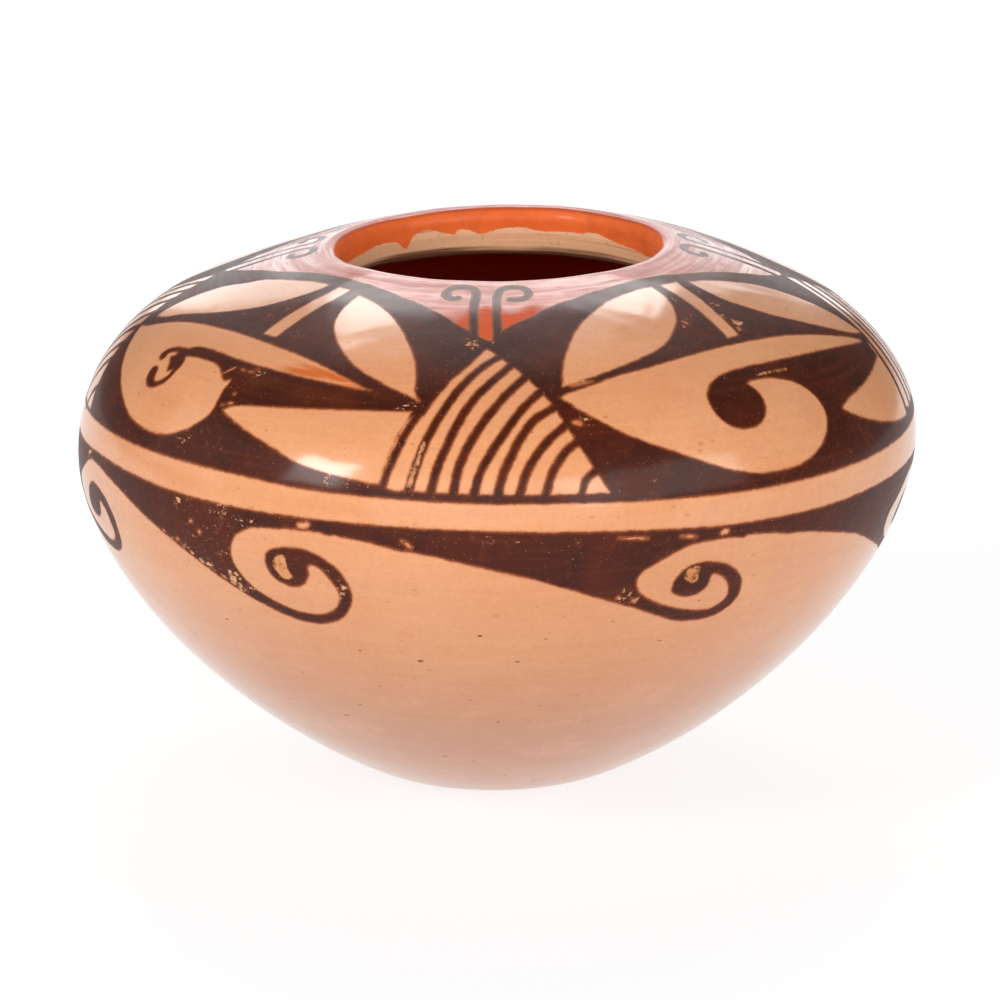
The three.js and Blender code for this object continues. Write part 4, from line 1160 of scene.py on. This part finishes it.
def make_ring(name, rows_out, rows_in, skip, cuts, material, squeeze=0.5):
    """rows_out then rows_in are path rows, each list running along the path; the ring's
    section closes across two joints. skip takes every skip-th column."""
    cols = np.arange(0, COLS, skip)
    n = len(cols)
    loop_rows = list(rows_out) + list(rows_in)
    m = len(loop_rows)
    verts = P[loop_rows][:, cols].reshape(-1, 3)
    joint = {len(rows_out) - 1, m - 1} if len(rows_in) else {m - 1}
    # widths along the section, in mm, for the unwrapping
    section = P[loop_rows][:, 0]
    step = np.linalg.norm(np.roll(section, -1, 0) - section, axis=1) / MM
    side = SIDE[loop_rows]
    for i in range(m):
        if i in joint:
            step[i] = 0.9
        elif side[i] >= 1.0:
            step[i] *= squeeze
    v_at = np.concatenate([[0], np.cumsum(step)])
    tall = v_at[-1]
    wide = float(R[loop_rows].max()) * 2 * math.pi / cuts
    gap = 1.1
    size = max(wide + 2 * gap, cuts * (tall + gap) + gap)
    i_idx = np.arange(m); j_idx = np.arange(n)
    I, J = np.meshgrid(i_idx, j_idx, indexing="ij")
    I2 = (I + 1) % m
    J2 = (J + 1) % n
    quads = np.stack([I * n + J, I * n + J2, I2 * n + J2, I2 * n + J], -1).reshape(-1, 4)
    per = n / cuts
    strip = np.floor(J / per).astype(int)
    u0 = gap + (J - strip * per) * (wide / per)
    u1 = u0 + wide / per
    v0 = gap + strip * (tall + gap) + v_at[I]
    v1 = gap + strip * (tall + gap) + v_at[I + 1]
    uv = np.stack([np.stack([u0, v0], -1), np.stack([u1, v0], -1), np.stack([u1, v1], -1), np.stack([u0, v1], -1)], 2).reshape(-1, 2) / size
    is_joint = np.isin(I, list(joint)).reshape(-1)
    # corner normals: the whole wall's own normals, and flat across the joints
    nrm = NRM[loop_rows][:, cols].reshape(-1, 3)
    corner = nrm[quads]
    q = verts[quads]
    face_n = np.cross(q[:, 2] - q[:, 0], q[:, 3] - q[:, 1])
    face_n /= np.linalg.norm(face_n, axis=1, keepdims=True) + 1e-20
    corner[is_joint] = face_n[is_joint][:, None]
    build(name, verts, quads, None, uv, corner.reshape(-1, 3), is_joint, material, loop_rows, cols)


def build(name, verts, quads, tris, uv, normals, is_joint, material, loop_rows, cols, extra=None):
    mesh = bpy.data.meshes.new(name)
    faces = quads if tris is None else None
    nv = len(verts)
    if tris is None:
        nf, nl = len(quads), len(quads) * 4
        loops = quads.reshape(-1)
        starts = np.arange(nf) * 4
        totals = np.full(nf, 4)
    else:
        nf = len(quads) + len(tris)
        loops = np.concatenate([quads.reshape(-1), tris.reshape(-1)])
        nl = len(loops)
        starts = np.concatenate([np.arange(len(quads)) * 4, len(quads) * 4 + np.arange(len(tris)) * 3])
        totals = np.concatenate([np.full(len(quads), 4), np.full(len(tris), 3)])
    mesh.vertices.add(nv)
    mesh.vertices.foreach_set("co", np.ascontiguousarray(verts, np.float32).ravel())
    mesh.loops.add(nl)
    mesh.loops.foreach_set("vertex_index", loops.astype(np.int32))
    mesh.polygons.add(nf)
    mesh.polygons.foreach_set("loop_start", starts.astype(np.int32))
    mesh.polygons.foreach_set("loop_total", totals.astype(np.int32))
    mesh.polygons.foreach_set("use_smooth", np.ones(nf, bool))
    mesh.materials.append(MATS[material])
    if is_joint is not None and is_joint.any():
        mesh.materials.append(CORE)
        mesh.polygons.foreach_set("material_index", is_joint.astype(np.int32))
    mesh.update(calc_edges=True)
    layer = mesh.uv_layers.new(name="OFBake")
    layer.data.foreach_set("uv", np.ascontiguousarray(uv, np.float32).ravel())
    for key_name, grid in ATTRS.items():
        at = mesh.attributes.new(key_name, "FLOAT", "POINT")
        values = grid[loop_rows][:, cols].reshape(-1) if extra is None else extra[key_name]
        at.data.foreach_set("value", values.astype(np.float32))
    mesh.normals_split_custom_set(normals.astype(np.float32))
    mesh.validate()
    obj = bpy.data.objects.new(name + "_clay", mesh)
    bpy.context.scene.collection.objects.link(obj)
    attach(obj, "root")
    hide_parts(name)
    return obj


def make_base():
    """The pinched base: both ends of its section run to the jar's axis."""
    skip = 2
    cols = np.arange(0, COLS, skip)
    n = len(cols)
    out_rows = list(range(0, outer_row[key(BASE_ARC)] + 1))
    in_rows = list(range(inner_row[key(BASE_ARC - LAP)], ROWS))
    rows = out_rows[1:] + in_rows[:-1]  # rings of points; the two poles are single points
    m = len(rows)
    ring_pts = P[rows][:, cols]
    pole_low = P[0, 0]; pole_top = P[-1, 0]
    verts = np.vstack([ring_pts.reshape(-1, 3), pole_low, pole_top])
    lo_i, top_i = m * n, m * n + 1
    I, J = np.meshgrid(np.arange(m - 1), np.arange(n), indexing="ij")
    J2 = (J + 1) % n
    quads = np.stack([I * n + J, I * n + J2, (I + 1) * n + J2, (I + 1) * n + J], -1).reshape(-1, 4)
    j = np.arange(n); j2 = (j + 1) % n
    tri_low = np.stack([np.full(n, lo_i), j2, j], -1)
    tri_top = np.stack([np.full(n, top_i), (m - 1) * n + j, (m - 1) * n + j2], -1)
    tris = np.vstack([tri_low, tri_top])
    # two discs: the outside, and the inside drawn smaller
    path = np.concatenate([[0], np.cumsum(np.linalg.norm(np.diff(P[out_rows][:, 0], axis=0), axis=1))]) / MM
    out_rad = path[1:]
    pin = np.concatenate([[0], np.cumsum(np.linalg.norm(np.diff(P[in_rows[::-1]][:, 0], axis=0), axis=1))]) / MM
    in_rad = pin[1:][::-1] * 0.62
    r1, r2 = out_rad[-1] + 1.1, in_rad[0] + 0.6
    gap = 1.2
    side_len = (r1 + r2 + gap) * (1 + math.sqrt(0.5)) + 0.6
    c1 = np.array([r1 + 0.6, r1 + 0.6]); c2 = np.array([side_len - r2 - 0.6, side_len - r2 - 0.6])
    ang = AZ[cols]
    dirs = np.stack([np.cos(ang), np.sin(ang)], -1)
    uvp = np.zeros((m, n, 2))
    n_out = len(out_rows) - 1
    for k in range(m):
        uvp[k] = c1 + dirs * out_rad[k] if k < n_out else c2 + dirs * [[-1, 1]] * in_rad[k - n_out]
    uv_q = np.zeros((len(quads), 4, 2))
    flat = uvp.reshape(-1, 2)
    uv_q[:] = flat[quads]
    joint_i = n_out - 1
    is_joint_q = (I == joint_i).reshape(-1)
    # the joint's strip: a thin ring round the first disc
    rim = c1 + dirs * (out_rad[-1] + 0.9)
    jn = np.nonzero(is_joint_q)[0]
    uv_q[jn, 2] = rim[J2.reshape(-1)[jn]]
    uv_q[jn, 3] = rim[J.reshape(-1)[jn]]
    uv_t = np.zeros((len(tris), 3, 2))
    uv_t[:n, 0] = c1; uv_t[:n, 1] = uvp[0][j2]; uv_t[:n, 2] = uvp[0][j]
    uv_t[n:, 0] = c2; uv_t[n:, 1] = uvp[m - 1][j]; uv_t[n:, 2] = uvp[m - 1][j2]
    uv = np.vstack([uv_q.reshape(-1, 2), uv_t.reshape(-1, 2)]) / side_len
    nrm = np.vstack([NRM[rows][:, cols].reshape(-1, 3), [[0, 0, -1]], [[0, 0, 1]]])
    corner_q = nrm[quads]
    q = verts[quads]
    fn = np.cross(q[:, 2] - q[:, 0], q[:, 3] - q[:, 1]); fn /= np.linalg.norm(fn, axis=1, keepdims=True) + 1e-20
    corner_q[is_joint_q] = fn[is_joint_q][:, None]
    normals = np.vstack([corner_q.reshape(-1, 3), nrm[tris].reshape(-1, 3)])
    is_joint = np.concatenate([is_joint_q, np.zeros(len(tris), bool)])
    extra = {}
    for key_name, grid in ATTRS.items():
        extra[key_name] = np.concatenate([grid[rows][:, cols].reshape(-1), [grid[0, 0], grid[-1, 0]]])
    return build("base_dish", verts, quads, tris, uv, normals, is_joint, "burnished_buff_slip", rows, cols, extra)


made = [make_base()]
for i in range(COILS):
    low = BASE_ARC + STEP * i
    high = low + STEP
    o0, o1 = outer_row[key(low)], outer_row[key(high)]
    i0, i1 = inner_row[key(high - LAP)], inner_row[key(low - LAP)]
    name = "wall_coil_%02d" % (i + 1)
    mat = "burnished_buff_slip" if i < 4 else "painted_slip" if i < 11 else "red_neck_slip"
    cuts = 5 if 2 <= i <= 9 else 4
    make_ring(name, range(o0, o1 + 1), range(i0, i1 + 1), 2 if i < 4 else 1, cuts, mat)
o0 = outer_row[key(LENGTH - RIM_ARC)]
i1 = inner_row[key(LENGTH - RIM_ARC - LAP)]
make_ring("rim_coil", range(o0, i1 + 1), [], 1, 4, "red_neck_slip", squeeze=0.9)

# ---------------------------------------------------------------------------
# Floor and light
# ---------------------------------------------------------------------------
WORLD_LIGHT = 0.14
FLOOR_GLOW = 0.83

bpy.ops.mesh.primitive_plane_add(size=12.0, location=(0, 0, 0))
floor = bpy.context.object
floor.name = "Floor"
fm = Nodes("Floor_Paper")
fpos = fm.new("ShaderNodeTexCoord").outputs["Object"]
fcol = fm.mix(fm.span(fm.noise(fpos, 1.2, 2.0), 0.3, 0.7), (0.19, 0.19, 0.19), (0.21, 0.21, 0.21))
fb = fm.new("ShaderNodeBsdfPrincipled")
fm.feed(fb.inputs["Base Color"], fcol)
fb.inputs["Roughness"].default_value = 0.9
fb.inputs["Specular IOR Level"].default_value = 0.2
fb.inputs["Emission Color"].default_value = (1.0, 1.0, 1.0, 1.0)
fb.inputs["Emission Strength"].default_value = FLOOR_GLOW
fo = fm.new("ShaderNodeOutputMaterial")
fm.feed(fo.inputs["Surface"], fb.outputs["BSDF"])
floor.data.materials.append(fm.mat)

world = bpy.data.worlds.new("Studio")
bpy.context.scene.world = world
world.use_nodes = True
world.node_tree.nodes["Background"].inputs["Color"].default_value = (1.0, 1.0, 1.0, 1.0)
world.node_tree.nodes["Background"].inputs["Strength"].default_value = WORLD_LIGHT


def softbox(name, azimuth, height, distance, size, radiance):
    """A rectangular light aimed at the jar: azimuth in degrees from the front (-Y)
    towards +X, height in degrees above the horizon, size in metres."""
    light = bpy.data.lights.new(name, "AREA")
    light.shape = "RECTANGLE"
    light.size, light.size_y = size
    light.energy = radiance * math.pi * size[0] * size[1]
    o = bpy.data.objects.new(name, light)
    bpy.context.scene.collection.objects.link(o)
    a, e = azimuth * DEG, height * DEG
    d = Vector((math.sin(a) * math.cos(e), -math.cos(a) * math.cos(e), math.sin(e)))
    o.location = Vector((0, 0, 0.08)) + d * distance
    o.rotation_euler = (-d).to_track_quat("-Z", "Y").to_euler()
    o.visible_camera = False
    return o


softbox("Softbox_Behind", 180, 44.5, 1.5, (0.80, 0.42), 6.6)
softbox("Softbox_Above", 180, 57, 1.5, (0.60, 0.24), 0.8)
softbox("Wall_Behind", 180, 18, 2.2, (1.35, 1.25), 2.1)
softbox("Key_Left", -52, 28.0, 1.6, (0.45, 0.50), 15.5)
softbox("Fill_Right", 44, 23, 1.7, (1.55, 0.74), 3.0)
softbox("Side_Left", -95, 20, 1.7, (0.9, 0.9), 0.6)
softbox("Front", 0, 16, 2.3, (3.0, 1.5), 1.25)

scene = bpy.context.scene
scene.view_settings.view_transform = "Standard"
scene.view_settings.look = "None"
scene.view_settings.exposure = 0.0
scene.view_settings.gamma = 1.0
